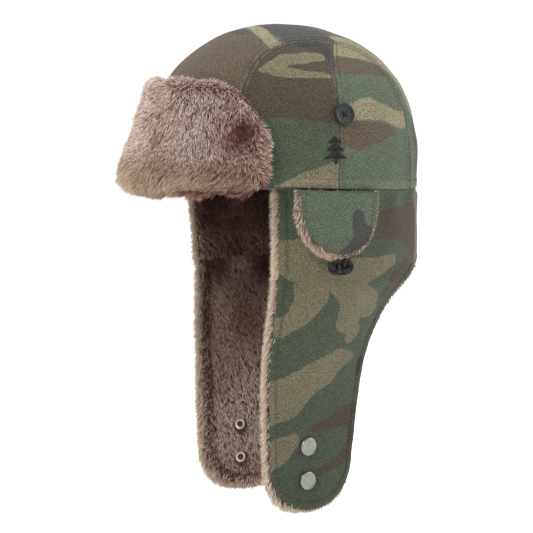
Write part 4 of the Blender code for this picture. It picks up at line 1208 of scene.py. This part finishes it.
def make_flap_fur(side, label, shell_grid, line):
    rng = np.random.default_rng(41 + (side < 0))
    mirror = np.array([side, 1, 1])
    grid = flap_grid(border=0.0012, rows=84, columns=44)
    normal = grid_normals(grid)
    outer = grid - normal * (SHELL + 0.0004)
    inner = outer - normal * 0.0024
    joint = (label, "ear")
    faces = grid_faces(*grid.shape[:2], flip=side < 0)
    skin = new_object(label + "_ear_flap_pile_backing", (outer * mirror).reshape(-1, 3),
                      faces, LINING_SKIN, None,
                      label + "_ear_flap_fur")
    solid = skin.modifiers.new("Thickness", "SOLIDIFY")
    solid.thickness = 0.0024
    solid.offset = -1.0
    apply_modifiers(skin)
    bend(skin, joint)
    place, away, row, column = scatter(inner, 30000, rng)
    from_edge = edge_distance(place[:, 1:], line)
    snaps = np.min([np.hypot(place[:, 1] - SNAP_ALONG, place[:, 2] - level)
                    for level in SNAP_LEVELS], axis=0)
    keep = snaps > 0.0062
    place, away, from_edge, snaps = place[keep], away[keep], from_edge[keep], snaps[keep]
    inward = -away
    count = len(place)
    middle = np.array([0.0, 0.004, -0.18])
    outward = unit((place - middle) * np.array([0.0, 1.6, 0.45]))
    rim = smooth((0.0095 - from_edge) / 0.004)[:, None]
    comb = (np.array([0.0, 0.0, -1.0]) * (1 - rim) + outward * rim * 1.5
            + 0.3 * rng.normal(0, 1, (count, 3)))
    groove = np.exp(-((from_edge - 0.0100) / 0.0018) ** 2)
    length = 0.0064 * (1.0 - 0.45 * groove) * (1.0 - 0.4 * np.exp(-((snaps - 0.006) / 0.003) ** 2))
    # painted shade: lower hairs are paler, the flap's top lying in the crown's shadow, and hairs in
    # the stitched groove are darker
    low = smooth((-0.13 - place[:, 2]) / 0.12)
    high = smooth((-0.090 - place[:, 2]) / 0.075)
    blotch = grain(place, 0.024, 81)
    pale = (rng.random(count) + 1.2 * rim[:, 0] + 0.40 * low + 0.30 * high + 1.00 * blotch
            + 0.32 - 0.8 * groove)
    mids = np.select([pale > 0.75, pale > 0.25], [2, 1], 0)
    tips = np.select([pale > 1.50, pale > 0.98, pale > 0.60], [4, 3, 2], 1)
    tips = np.where((tips == 3) & (rng.random(count) < 0.3), 5, tips)
    lift = 0.62 - 0.28 * rim[:, 0]
    grow(label + "_ear_flap_pile", place * mirror, inward * mirror, comb * mirror, length, lift,
         (mids, tips), rng, LINING_SHADES, joint, droop=0.10)
    fringe(label + "_ear_flap_fringe", side, outer, line, rng, joint)


def fringe(name, side, outer, line, rng, joint):
    """Hairs of the lining that stand out past the cloth's edge, longest in front."""
    find = flap_surface(outer)
    places, ways = find(line[(line[:, 1] < SPLIT - 0.0005)])
    out = unit(np.cross(ways, unit(np.gradient(places, axis=0))))
    out *= np.sign(((places - places.mean(axis=0)) * out).sum(1))[:, None]
    length = (0.0030 + 0.0056 * smooth(-out[:, 1] / 0.8) + 0.0035 * smooth(-out[:, 2] / 0.9))
    border(name, places, ways, out, length, 12000, rng, side, joint)


def border(name, places, ways, out, length, count, rng, side, body, lift=0.66, pale=0.0):
    """Hairs rooted behind an edge that curl out past it."""
    mirror = np.array([side, 1, 1])
    steps = np.linalg.norm(np.gradient(places, axis=0), axis=1)
    index = rng.choice(len(places), size=count, p=steps / steps.sum())
    along = unit(np.gradient(places, axis=0))[index]
    back = rng.uniform(0.0002, 0.0030, count)[:, None]
    roots = (places[index] - ways[index] * back
             + out[index] * rng.uniform(-0.0030, 0.0004, count)[:, None]
             + along * rng.uniform(-0.0006, 0.0006, count)[:, None])
    heading = unit(out[index] + ways[index] * rng.uniform(-0.35, 0.30, count)[:, None])
    comb = np.array([0.0, -0.1, -1.0]) + 0.45 * rng.normal(0, 1, (count, 3))
    share = rng.random(count) - 1.6 * pale
    mids = np.select([share > 0.30, share > 0.08], [3, 2], 1)
    tips = np.select([share > 0.30, share > 0.12, share > 0.02], [4, 5, 3], 2)
    grow(name, roots * mirror, heading * mirror, comb * mirror, length[index], lift,
         (mids, tips), rng, BORDER_HAIR_LIT_PALETTE, body, width=0.00048)


# ------------------------------------------------------------ vent flaps

def vent_grid(border=0.0, out=0.0, rows=44, columns=40):
    length = VENT_LENGTH + border
    drop = np.sin(math.pi / 2 * np.linspace(0.0, 1.0, rows + 1))
    level = VENT_TOP - (length + VENT_TOP) * drop
    share = np.minimum(-level / length, 1.0)
    half = np.maximum((VENT_HALF_WIDTH + border) * (1.0 - share ** 2.8) ** (1.0 / 2.1), 0.0030)
    along = half[:, None] * np.linspace(-1.0, 1.0, columns + 1)
    hem = HALF_WIDTH * np.sqrt(1.0 - (along / HALF_LENGTH) ** 2)
    return rows_of(hem + VENT_STANDOFF + out, along + VENT_LEAN * share[:, None],
                   level[:, None] + 0 * along)


def make_vent_flap(side, label):
    mirror = np.array([side, 1, 1])
    grid = vent_grid()
    line = outline_of(grid)
    distance = edge_distance(grid[..., 1:], line)
    normal = grid_normals(grid)
    relief = (0.0005 * smooth((0.0062 - distance) / 0.0014)
              - 0.00045 * np.exp(-((distance - 0.005) / 0.0006) ** 2)
              - 0.0005 * smooth((0.001 - distance) / 0.001)
              + 0.0008 * grain(grid * mirror, 0.022, 61))
    outer = grid + normal * relief[..., None]
    joint = (label, "vent")
    shade = 0.35 * np.exp(-((distance - 0.005) / 0.0006) ** 2)
    shade = np.clip(shade + 0.9 * np.exp(-((grid[..., 2] + 0.001) / 0.0015) ** 2), 0, 1)
    cloth_piece(label + "_vent_flap_cloth", tipped(outer * mirror), joint,
                label + "_vent_flap_shell", side < 0, 0.5 * np.exp(-(distance / 0.001) ** 2),
                shade, thickness=0.0011, part="vent", placed=side > 0)
    find = flap_surface(outer)
    places, ways = find(offset_line(line, 0.0050, 1))
    keep = places[:, 2] < -0.003
    sewn(label + "_vent_flap_topstitching", [(tipped(places[keep] * mirror),
                                              tipped(ways[keep] * mirror))], joint)
    rng = np.random.default_rng(51 + (side < 0))
    back = vent_grid(border=-0.0012, out=-(VENT_SHELL + 0.0002), rows=30, columns=26)
    normal = grid_normals(back)
    faces = grid_faces(*back.shape[:2], flip=side < 0)
    skin = new_object(label + "_vent_flap_pile_backing", tipped(back * mirror).reshape(-1, 3),
                      faces, LINING_SKIN, None,
                      label + "_vent_flap_fur")
    solid = skin.modifiers.new("Thickness", "SOLIDIFY")
    solid.thickness = 0.0012
    solid.offset = -1.0
    apply_modifiers(skin)
    bend(skin, joint)
    place, away, row, _ = scatter(back - normal * 0.0005, 8000, rng)
    from_edge = edge_distance(place[:, 1:], line)
    rim = smooth((0.007 - from_edge) / 0.005)[:, None]
    out = unit((place - np.array([0.09, 0.002, -0.018])) * np.array([0.0, 1.0, 1.0]))
    count = len(place)
    comb = out * (0.4 + rim) + 0.35 * rng.normal(0, 1, (count, 3)) + np.array([0, 0, -0.4])
    pale = rng.random(count) + 0.8 * rim[:, 0]
    mids = np.where(pale > 0.8, 3, 2)
    tips = np.select([pale > 0.9, pale > 0.5], [4, 5], 3)
    ahead = smooth((0.010 - place[:, 1]) / 0.03) * smooth((0.006 - place[:, 2]) / 0.03)
    grow(label + "_vent_flap_pile", tipped(place * mirror), tipped(-away * mirror),
         tipped(comb * mirror), 0.0032 + (0.0010 + 0.0010 * ahead) * rim[:, 0],
         0.45 - 0.20 * rim[:, 0],
         (mids, tips), rng, LINING_SHADES, joint, width=0.00045)
    places, ways = find(line[2:-2])
    out = unit(np.cross(ways, unit(np.gradient(places, axis=0))))
    out *= np.sign(((places - places.mean(axis=0)) * out).sum(1))[:, None]
    ahead = smooth((0.012 - places[:, 1]) / 0.025) * smooth((0.002 - places[:, 2]) / 0.022)
    border(label + "_vent_flap_fringe", tipped(places), tipped(ways), tipped(out),
           0.0022 + 0.0058 * ahead, 5200, rng, side, joint, lift=0.48, pale=0.30)


def loop_route(side, steps=36):
    across = HALF_WIDTH + VENT_STANDOFF - VENT_SHELL - 0.0010
    top = -VENT_LENGTH - 0.003 - LOOP_GAP
    turn = math.pi * np.arange(steps + 1) / steps
    along = VENT_LEAN + 0.0015 - LOOP_HALF * np.cos(turn) * (1 + 0.25 * np.sin(turn))
    return tipped(rows_of(side * across, along, top - LOOP_DROP * np.sin(turn) ** 0.8))


def make_loop(side, label):
    route = loop_route(side)
    item = tube(label + "_elastic_loop", [route], LOOP_DIAMETER / 2, ELASTIC)
    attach(item, label + "_vent_flap")
    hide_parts(label + "_vent_loop")


def make_knots(side, label):
    """An overhand knot at each end of the elastic, pulled up under the flap's tip."""
    route = loop_route(side)
    lines = []
    for middle, turn in ((route[13], 0.4), (route[-14], -0.7)):
        t = np.linspace(0.0, 2 * math.pi, 61)[:-1]
        radius = 0.0036 + 0.0015 * np.cos(3 * t)
        flat = rows_of(0.0017 * np.sin(3 * t), radius * np.cos(2 * t + turn),
                       radius * np.sin(2 * t + turn))
        lines.append(flat + middle + np.array([0.0, 0.0, 0.0058]))
    item = tube(label + "_elastic_knots", lines, LOOP_DIAMETER * 0.78, ELASTIC, True)
    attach(item, label + "_vent_flap")


def tube(name, lines, radius, material, closed=False):
    curve = bpy.data.curves.new(name, "CURVE")
    curve.dimensions = "3D"
    curve.bevel_depth = radius
    curve.bevel_resolution = 3
    curve.use_fill_caps = not closed
    for line in lines:
        spline = curve.splines.new("POLY")
        spline.use_cyclic_u = closed
        spline.points.add(len(line) - 1)
        for point, place in zip(spline.points, line):
            point.co = (*place, 1.0)
    item = bpy.data.objects.new(name, curve)
    bpy.context.scene.collection.objects.link(item)
    curve.materials.append(material)
    return item


# ------------------------------------------------------------ turned pieces

def turned(profile, place, normal, steps=64):
    """Vertices and faces of a profile of (radius, height) turned about a normal."""
    turn = 2 * math.pi * np.arange(steps) / steps
    profile = np.array(profile, float)
    ring = rows_of(profile[:, :1] * np.cos(turn), profile[:, :1] * np.sin(turn),
                   profile[:, 1:] + 0 * turn)
    frame_in = np.array(Vector(normal).to_track_quat("Z", "Y").to_matrix())
    return ring.reshape(-1, 3) @ frame_in.T + np.array(place), grid_faces(
        len(profile), steps, wrap=True)


def rounded(profile, count=4):
    """A profile with its corners cut round, by repeated corner cutting."""
    line = np.array(profile, float)
    for _ in range(count):
        cut = np.empty((2 * (len(line) - 1), 2))
        cut[0::2] = 0.75 * line[:-1] + 0.25 * line[1:]
        cut[1::2] = 0.25 * line[:-1] + 0.75 * line[1:]
        line = np.concatenate([line[:1], cut, line[-1:]])
    return line


def turned_piece(name, profile, place, normal, material, body, replaces, soften=2):
    vertices, faces = turned(rounded(profile, soften), place, normal)
    return new_object(name, vertices, faces, material, body, replaces)


def make_snaps(side, label):
    grid = flap_grid(rows=100, columns=60)
    find = flap_surface(grid)
    body = label + "_ear_flap"
    for kind, level in zip(("upper", "lower"), SNAP_LEVELS):
        places, ways = find(np.array([[SNAP_ALONG, level]]))
        place, normal = places[0] * np.array([side, 1, 1]), ways[0] * np.array([side, 1, 1])
        stem = label + "_" + kind
        if side > 0:
            turned_piece(stem + "_cap_metal",
                         [(0, 0.0021), (0.0030, 0.0021), (0.0052, 0.0017), (0.0060, 0.0021),
                          (0.0070, 0.0021), (0.0075, 0.0012), (0.0074, 0.0003), (0.0, 0.0003)],
                         place, normal, NICKEL, body, stem + "_snap_cap")
            turned_piece(stem + "_socket_metal",
                         [(0, -0.0024), (0.0055, -0.0024), (0.0061, -0.0032), (0.0057, -0.0050),
                          (0.0042, -0.0057), (0.0027, -0.0056), (0.0026, -0.0036),
                          (0, -0.0034)],
                         place, normal, NICKEL, body, stem + "_snap_socket")
        else:
            turned_piece(stem + "_stud_metal",
                         [(0, 0.0042), (0.0017, 0.0042), (0.0024, 0.0035), (0.0019, 0.0022),
                          (0.0024, 0.0013), (0.0055, 0.0012), (0.0061, 0.0003), (0, 0.0003)],
                         place, normal, NICKEL, body, stem + "_snap_stud")
            turned_piece(stem + "_eyelet_metal",
                         [(0.0016, -0.0024), (0.0046, -0.0024), (0.0051, -0.0032),
                          (0.0047, -0.0043), (0.0034, -0.0048), (0.0020, -0.0040),
                          (0.0016, -0.0024)],
                         place, normal, LIT_EYELET_NICKEL, body, stem + "_snap_eyelet")


def make_button(side, label):
    """Four-hole button: a turned rim round a flat middle with real holes, and its thread."""
    point, normal = dome_side(*BUTTON_PLACE, side)
    place, normal = tipped(point), tipped(normal)
    rim = rounded([(0.0052, 0.0014), (0.0080, 0.0015), (0.0090, 0.0024), (0.0088, 0.0037),
                   (0.0078, 0.0043), (0.0066, 0.0037), (0.0058, 0.0030), (0.0052, 0.0030)], 2)
    rim = np.concatenate([rim, rim[:1]])
    build = bmesh.new()
    turn = np.array(Vector(normal).to_track_quat("Z", "Y").to_matrix())
    vertices, faces = turned(rim[::-1], place, normal, 72)
    corners = [build.verts.new(v) for v in vertices]
    for face in faces:
        if len(set(face)) == 4:
            build.faces.new([corners[i] for i in face])
    curve = bpy.data.curves.new(label + "_button_middle", "CURVE")
    curve.dimensions, curve.fill_mode = "2D", "BOTH"
    curve.extrude, curve.bevel_depth, curve.bevel_resolution = 0.0006, 0.00018, 2
    holes = [(0.0, 0.0, 0.0056, 48)] + [
        (0.0021 * math.cos(a), 0.0021 * math.sin(a), 0.00095, 20)
        for a in (math.pi / 4 + math.pi / 2 * k for k in range(4))]
    for x, y, radius, count in holes:
        spline = curve.splines.new("POLY")
        spline.use_cyclic_u = True
        spline.points.add(count - 1)
        for k, spot in enumerate(spline.points):
            a = 2 * math.pi * k / count
            spot.co = (x + radius * math.cos(a), y + radius * math.sin(a), 0.0, 1.0)
    helper = bpy.data.objects.new("helper", curve)
    bpy.context.scene.collection.objects.link(helper)
    middle = bpy.data.meshes.new_from_object(
        helper.evaluated_get(bpy.context.evaluated_depsgraph_get()))
    bpy.data.objects.remove(helper)
    middle.transform(Matrix.Translation(place) @ Matrix(turn.tolist()).to_4x4()
                     @ Matrix.Translation((0.0, 0.0, 0.0022)))
    build.from_mesh(middle)
    bpy.data.meshes.remove(middle)
    mesh = bpy.data.meshes.new(label + "_coat_button")
    build.to_mesh(mesh)
    build.free()
    mesh.materials.clear()
    mesh.materials.append(PLASTIC)
    mesh.shade_smooth()
    mesh.set_sharp_from_angle(angle=math.radians(40))
    item = bpy.data.objects.new(label + "_coat_button", mesh)
    bpy.context.scene.collection.objects.link(item)
    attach(item, "crown")
    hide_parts(label + "_button")
    lines = []
    for k in range(2):
        a = math.pi / 4 + math.pi / 2 * k
        way = turn @ np.array([math.cos(a), math.sin(a), 0.0])
        beside = np.cross(normal, way)
        for shift in (-0.00035, 0.0, 0.00035):
            middle_of = place + normal * (0.0030 + 0.0002 * k) + beside * shift
            ends = np.stack([middle_of - way * 0.0024, middle_of + way * 0.0024])
            lines.append((ends, np.broadcast_to(normal, ends.shape)))
    vertices, faces = stitch_row(lines, pitch=0.0048, length=0.0050, width=0.00048,
                                 height=0.0009)
    thread = new_object(label + "_button_cross_thread", vertices, faces, DARK_THREAD, "crown",
                        label + "_button_thread")
    return thread


def make_motif():
    """Fir tree in satin stitch: slanting threads laid side by side in each tier."""
    point, normal = dome_side(*MOTIF_PLACE)
    place, normal = crown_cloth(point[None])[0], tipped(normal)
    upright = np.array([0.0, 0.0, 1.0])
    rise = unit(upright - normal * (upright @ normal))
    across = np.cross(rise, normal)
    tiers, half_width, height, gap = 3, 0.0100, 0.0220, 0.00040
    lines = []

    def lay(x0, z0, x1, z1, lift=0.0):
        ends = np.array([[x0, z0], [x1, z1]])
        spots = place + ends[:, :1] * across + ends[:, 1:] * rise
        curve_back = (ends[:, 0] ** 2) / (2 * 0.11)
        spots = spots + normal * (0.0006 + lift - curve_back)[:, None]
        lines.append((spots, np.broadcast_to(normal, spots.shape)))
    for tier in range(tiers):
        top = height / 2 - height * 0.82 * tier / tiers + (0.0010 if tier else 0.0)
        low = height / 2 - height * 0.82 * (tier + 1) / tiers
        reach = half_width * (0.55 + 0.45 * tier / (tiers - 1))
        count = int(reach / gap)
        for k in range(count):
            x = (k + 0.5) * gap
            share = x / reach
            upper = top - (top - low - 0.0006) * share
            for way in (-1, 1):
                lay(way * x, upper, way * x * 1.02, low + 0.0007 * (1.0 - share), 0.0001 * tier)
    for k in range(7):
        x = (k - 3) * gap
        lay(x, -height / 2 + 0.0044, x, -height / 2)
    vertices, faces = [], []
    count = 0
    for points, normals in lines:
        length = float(np.linalg.norm(points[1] - points[0]))
        if length < 0.0006:
            continue
        v, f = stitch_row([(points, normals)], pitch=length * 0.75, length=length,
                          width=0.00050, height=0.00060)
        vertices.append(v)
        faces += [[i + count for i in face] for face in f]
        count += len(v)
    return new_object("side_fir_embroidery", np.concatenate(vertices), faces, DARK_THREAD,
                      "crown", "side_motif")


# ------------------------------------------------------------ brow flap

def brow_top(angle, low, high):
    share = np.minimum(np.abs(angle) / BROW_HALF_ANGLE, 1.0)
    return low + (high - low) * np.sqrt(np.maximum(1.0 - share ** 6, 0.0))


def brow_reach(level):
    """How much thinner the fur pad lies at a level than it is at its foot."""
    waist = smooth((level - 0.004) / 0.034)
    return BROW_WAIST * waist * (1.0 - 0.60 * smooth((level - 0.058) / 0.018))


def brow_place(angle, level, out):
    ring = dome_ring(np.maximum(level, 0.0))
    return rows_of((HALF_WIDTH * ring + out) * np.sin(angle),
                   -(HALF_LENGTH * ring + out) * np.cos(angle), level)


def make_brow_shell():
    limit = BROW_HALF_ANGLE * BROW_END
    angle = np.linspace(-limit, limit, 121)[None, :]
    top = brow_top(angle, 0.0, BROW_TOP - 0.004)
    share = np.linspace(1.0, 0.0, 53)[:, None]
    level = 0.002 + (top - 0.002) * share
    out = 0.0026 + 0.0003 * grain(brow_place(angle + 0 * level, level, 0.0), 0.02, 71)
    grid = brow_place(angle + 0 * level, level, out)
    cloth_piece("brow_flap_cloth", tipped(grid), "crown", "brow_flap_shell", False,
                thickness=0.0011, part="strip", placed=False)


def brow_grid(inset=0.0042, columns=150):
    """The fur pad's skin: sections from the right temple to the left."""
    limit = BROW_HALF_ANGLE * BROW_END - 0.030
    angle = limit * np.sin(math.pi / 2 * np.linspace(-1.0, 1.0, columns + 1))
    thick_from, thick_to = BROW_FUR_FROM, BROW_FUR_TO - inset
    grid = []
    for a in angle:
        low = BROW_BOTTOM + inset + BROW_RISE * (a / BROW_HALF_ANGLE) ** 2
        high = float(brow_top(a, low + 0.004, BROW_TOP - inset))
        cap = min(0.0050, 0.4 * (high - low))
        reach = thick_to - float(brow_reach(high - cap))
        middle, half = 0.5 * (thick_from + reach), 0.5 * (reach - thick_from)
        outs, levels = [BROW_LIP + 0.002, thick_from], [-0.0015, -0.0010]
        climb = np.linspace(0.0, 1.0, 9)[1:]
        outs += [thick_from] * 8
        levels += list(-0.0010 + (high - cap + 0.0010) * climb)
        for turn in np.linspace(0.0, math.pi, 14)[1:]:
            outs.append(middle - half * math.cos(turn))
            levels.append(high - cap + cap * math.sin(turn))
        fall = np.linspace(0.0, 1.0, 31)[1:]
        levels += list(high - cap - (high - cap - low - 0.008) * fall)
        outs += list(thick_to - brow_reach(high - cap - (high - cap - low - 0.008) * fall)
                     + 0.0012 * np.sin(math.pi * fall) * min(1.0, high / 0.06))
        for turn in np.linspace(0.0, math.pi, 14)[1:]:
            outs.append(thick_to - 0.0095 * (1 - math.cos(turn)) - 0.0006 * turn)
            levels.append(low + 0.008 - 0.008 * math.sin(turn))
        grid.append(brow_place(a, np.array(levels), np.array(outs)))
    return np.stack(grid, axis=1), angle


def make_brow_fur():
    rng = np.random.default_rng(61)
    grid, angle = brow_grid()
    normal = grid_normals(grid)
    lumps = 0.0022 * grain(grid, 0.022, 72) + 0.0012 * grain(grid, 0.009, 73)
    dimple = np.zeros(grid.shape[:2])
    tacks = [brow_place(np.array(side * TACK_ANGLE), np.array(TACK_LEVEL), 0.0072)
             for side in (1, -1)]
    for tack in tacks:
        near = np.linalg.norm(grid - tack, axis=2)
        dimple = np.maximum(dimple, np.exp(-(near / 0.0075) ** 2))
    face_on = smooth((np.arange(grid.shape[0]) - 10) / 10.0)[:, None]
    skin = grid + normal * ((lumps - 0.0028 * dimple) * face_on)[..., None]
    count_rows, count_columns = skin.shape[:2]
    vertices = skin.reshape(-1, 3)
    faces = grid_faces(count_columns, count_rows, wrap=True)
    order = np.arange(count_rows * count_columns).reshape(count_rows, count_columns).T.ravel()
    faces = order[faces].tolist()
    faces.append([i * count_columns for i in range(count_rows)])
    faces.append([i * count_columns + count_columns - 1 for i in range(count_rows)][::-1])
    item = new_object("brow_flap_pile_backing", tipped(vertices), faces, BROW_SKIN, "crown",
                      "brow_flap_fur")
    build = bmesh.new()
    build.from_mesh(item.data)
    bmesh.ops.recalc_face_normals(build, faces=build.faces)
    build.to_mesh(item.data)
    build.free()
    weight = np.broadcast_to(smooth((np.arange(count_rows) - 12) / 4.0)[:, None],
                             skin.shape[:2]).copy()
    place, away, row, column = scatter(skin, 50000, rng, weight=weight)
    away = unit(away)
    centre_way = np.stack([place[:, 0] * 0.6, place[:, 1] * 0.6, np.zeros(len(place))], 1)
    if ((away * centre_way).sum(1)).mean() < 0:
        away = -away
    count = len(place)
    turn = np.arctan2(place[:, 0], -place[:, 1] * HALF_WIDTH / HALF_LENGTH)
    level = place[:, 2]
    end = smooth((np.abs(turn) - 0.86 * BROW_HALF_ANGLE) / (0.12 * BROW_HALF_ANGLE))
    sideways = rows_of(np.cos(turn), np.sin(turn), 0.0) * np.sign(turn)[:, None]
    upward = smooth((level - 0.060) / 0.018) * 0.75 - 0.8
    comb = (np.array([0.0, 0.0, 1.0]) * upward[:, None] * (1.0 - 0.6 * end)[:, None]
            + sideways * (0.18 + 1.2 * end)[:, None] + 0.30 * rng.normal(0, 1, (count, 3)))
    comb += rows_of(-np.cos(turn), -np.sin(turn), 0.0) * (0.25 * smooth((0.022 - level)
                                                                        / 0.02))[:, None]
    near = np.min([np.linalg.norm(place - tack, axis=1) for tack in tacks], axis=0)
    pit = np.exp(-(near / 0.0072) ** 2)
    toward = np.select([place[:, 0] > 0], [0], 1)
    goal = np.array(tacks)[toward] - place
    comb = comb * (1 - pit)[:, None] + unit(goal) * (1.4 * pit)[:, None]
    swirl = grain(place, 0.016, 74)
    foot = smooth((0.026 - level) / 0.018)
    comb += sideways * (0.35 * swirl)[:, None]
    comb += rows_of(-np.cos(turn), -np.sin(turn), 0.0) * (0.45 * foot * (turn > 0))[:, None]
    fold = BROW_BOTTOM + 0.0065 + BROW_RISE * (turn / BROW_HALF_ANGLE) ** 2
    folded = smooth((turn / BROW_HALF_ANGLE - 0.42) / 0.10)
    crease = folded * np.exp(-((level - fold) / 0.0011) ** 2)
    above_fold = folded * smooth((level - fold) / 0.001) * smooth((fold + 0.009 - level) / 0.004)
    comb += rows_of(-np.cos(turn), -np.sin(turn), 0.35) * (1.1 * above_fold)[:, None]
    patch = 0.5 + 0.5 * grain(place, 0.012, 75)
    tone_and_shade = rng.random(count) * 0.7 + 0.3 * patch
    edge_pale = np.maximum(end, smooth((0.012 - level) / 0.012))
    edge_pale = np.maximum(edge_pale, 0.7 * smooth((level - 0.068) / 0.008))
    shadow = np.exp(-(np.linalg.norm(place - tacks[0] - np.array([-0.003, -0.006, -0.011]),
                                     axis=1) / 0.011) ** 2)
    # painted shade: darker hairs in the tack pits, in a cast shadow below the left tack and along
    # the fold's crease; also darker toward the foot and the wearer's left end
    tone_and_shade = tone_and_shade + 0.29 + 0.04 * edge_pale - 1.8 * pit - 0.60 * shadow - 0.24 * foot
    tone_and_shade -= 1.2 * crease
    tone_and_shade -= 0.26 * smooth((turn - 0.50 * BROW_HALF_ANGLE) / (0.3 * BROW_HALF_ANGLE))
    mids = np.select([tone_and_shade > 0.52, tone_and_shade > 0.08], [2, 1], 0)
    tips = np.select([tone_and_shade > 0.60, tone_and_shade > 0.40, tone_and_shade > 0.14, tone_and_shade > -0.3], [4, 3, 2, 1], 0)
    khaki = rng.random(count) < 0.05 + 0.85 * foot
    tips = np.where(khaki & (tips >= 2), 5, tips)
    mids = np.where((rng.random(count) < 0.35 * foot) & (mids == 2), 1, mids)
    # painted shade: most hairs on the pad's underside take the darkest root and tip shades
    under = (away[:, 2] < -0.62) & (rng.random(count) < 0.75)
    mids, tips = np.where(under, 0, mids), np.where(under, 1, tips)
    length = 0.0076 * (1.0 - 0.55 * pit) * (0.85 + 0.3 * patch)
    length *= 1.0 + 0.75 * smooth((0.018 - level) / 0.022) * (1.0 - 0.5 * above_fold)
    length *= 1.0 - 0.75 * crease
    flip = np.exp(-((level - 0.066) / 0.010) ** 2)
    grow("brow_flap_pile", tipped(place), tipped(away), tipped(comb), length,
         0.46 - 0.10 * end - 0.06 * foot + 0.10 * flip, (mids, tips), rng, BROW_SHADES, "crown",
         width=0.00050, clumping=0.36, jitter=0.20)
    for side, label in SIDES:
        base = brow_place(np.array(side * TACK_ANGLE), np.array(TACK_LEVEL), 0.0062)
        outward = unit(brow_place(np.array(side * TACK_ANGLE), np.array(TACK_LEVEL), 0.02)
                       - base)
        beside = unit(np.cross(outward, np.array([0.0, 0.0, 1.0])))
        lines = []
        for shift in (-0.0005, 0.0, 0.0005):
            middle = base + beside * shift
            ends = np.stack([middle + np.array([0, 0, 0.0018]),
                             middle - np.array([0, 0, 0.0018])])
            lines.append((tipped(ends), np.broadcast_to(tipped(outward), ends.shape)))
        vertices, faces = stitch_row(lines, pitch=0.0036, length=0.0036, width=0.0007,
                                     height=0.0010)
        new_object(label + "_brow_tack_thread", vertices, faces, DARK_THREAD, "crown",
                   "brow_tack_" + label)


# ------------------------------------------------------------ floor, light and camera

def make_stage():
    floor = bpy.data.meshes.new("floor")
    size, level = 6.0, -0.285
    vertices = [(x, y, level) for y in (-size, size) for x in (-size, size)]
    floor.from_pydata(vertices, [], [(0, 1, 3, 2)])
    material, tree, shader = node_material("pale_floor")
    n = Nodes(tree)
    speck = n.noise(n.add("TexCoord").outputs["Object"], 40.0, 2.0)
    n.link(n.mix(n.range(speck, 0.3, 0.7), (0.93, 0.93, 0.93, 1), (0.96, 0.96, 0.96, 1)),
           shader.inputs["Base Color"])
    shader.inputs["Roughness"].default_value = 0.9
    shader.inputs["Specular IOR Level"].default_value = 0.1
    glow = n.add("LightPath").outputs["Is Camera Ray"]
    shader.inputs["Emission Color"].default_value = (1.0, 1.0, 1.0, 1.0)
    n.link(n.math("MULTIPLY", glow, 0.75), shader.inputs["Emission Strength"])
    floor.materials.append(material)
    item = bpy.data.objects.new("floor", floor)
    bpy.context.scene.collection.objects.link(item)


def add_area(name, place, target, size, power):
    light = bpy.data.lights.new(name, "AREA")
    light.shape = "DISK"
    light.size = size
    light.energy = power
    item = bpy.data.objects.new(name, light)
    item.location = place
    way = Vector(target) - Vector(place)
    item.rotation_euler = way.to_track_quat("-Z", "Y").to_euler()
    bpy.context.scene.collection.objects.link(item)


CAMERA_AZIMUTH, CAMERA_ELEVATION, CAMERA_DISTANCE = math.radians(60.28), math.radians(4.23), 1.787
LENS = 149.7
AMBIENT = 0.42
AIM = (-0.0122, -0.0685)      # aim point right of and above the origin, in the picture's plane


def make_view():
    az, el = CAMERA_AZIMUTH, CAMERA_ELEVATION
    back = Vector((math.sin(az) * math.cos(el), -math.cos(az) * math.cos(el), math.sin(el)))
    right = Vector((math.cos(az), math.sin(az), 0.0))
    up = back.cross(right)
    camera = bpy.data.cameras.new("camera")
    camera.lens = LENS
    camera.clip_start, camera.clip_end = 0.05, 30.0
    item = bpy.data.objects.new("camera", camera)
    item.location = back * CAMERA_DISTANCE
    target = right * AIM[0] + up * AIM[1]
    item.rotation_euler = (item.location - target).to_track_quat("Z", "Y").to_euler()
    bpy.context.scene.collection.objects.link(item)
    bpy.context.scene.camera = item
    world = bpy.data.worlds.new("studio")
    world.use_nodes = True
    n = Nodes(world.node_tree)
    sky = world.node_tree.nodes["Background"]
    sky.inputs[0].default_value = (1.0, 1.0, 1.0, 1.0)
    seen = n.add("LightPath").outputs["Is Camera Ray"]
    n.link(n.range(seen, 0.0, 1.0, AMBIENT, 1.05), sky.inputs[1])
    bpy.context.scene.world = world
    bpy.context.scene.view_settings.view_transform = "Standard"
    centre = (0.0, 0.0, -0.04)
    high = Vector((0.0, 0.0, 1.0))
    add_area("key", back * 1.5 - right * 0.9 + high * 1.1, centre, 1.0, 17.0)
    add_area("left", back * 0.1 - right * 1.8 + high * 0.8, centre, 1.3, 15.0)
    add_area("right", right * 1.8 - back * 0.1 + high * 0.8, centre, 1.3, 17.0)
    add_area("top", high * 1.9 - back * 0.2, centre, 1.4, 15.0)


make_view()
make_stage()
for side, label in SIDES:
    make_loop(side, label)
    make_knots(side, label)
make_crown()
make_lining()
make_cover()
make_cover_fur()
for side, label in SIDES:
    make_ear_flap(side, label)
    make_vent_flap(side, label)
    make_snaps(side, label)
    make_button(side, label)
make_motif()
make_brow_shell()
make_brow_fur()
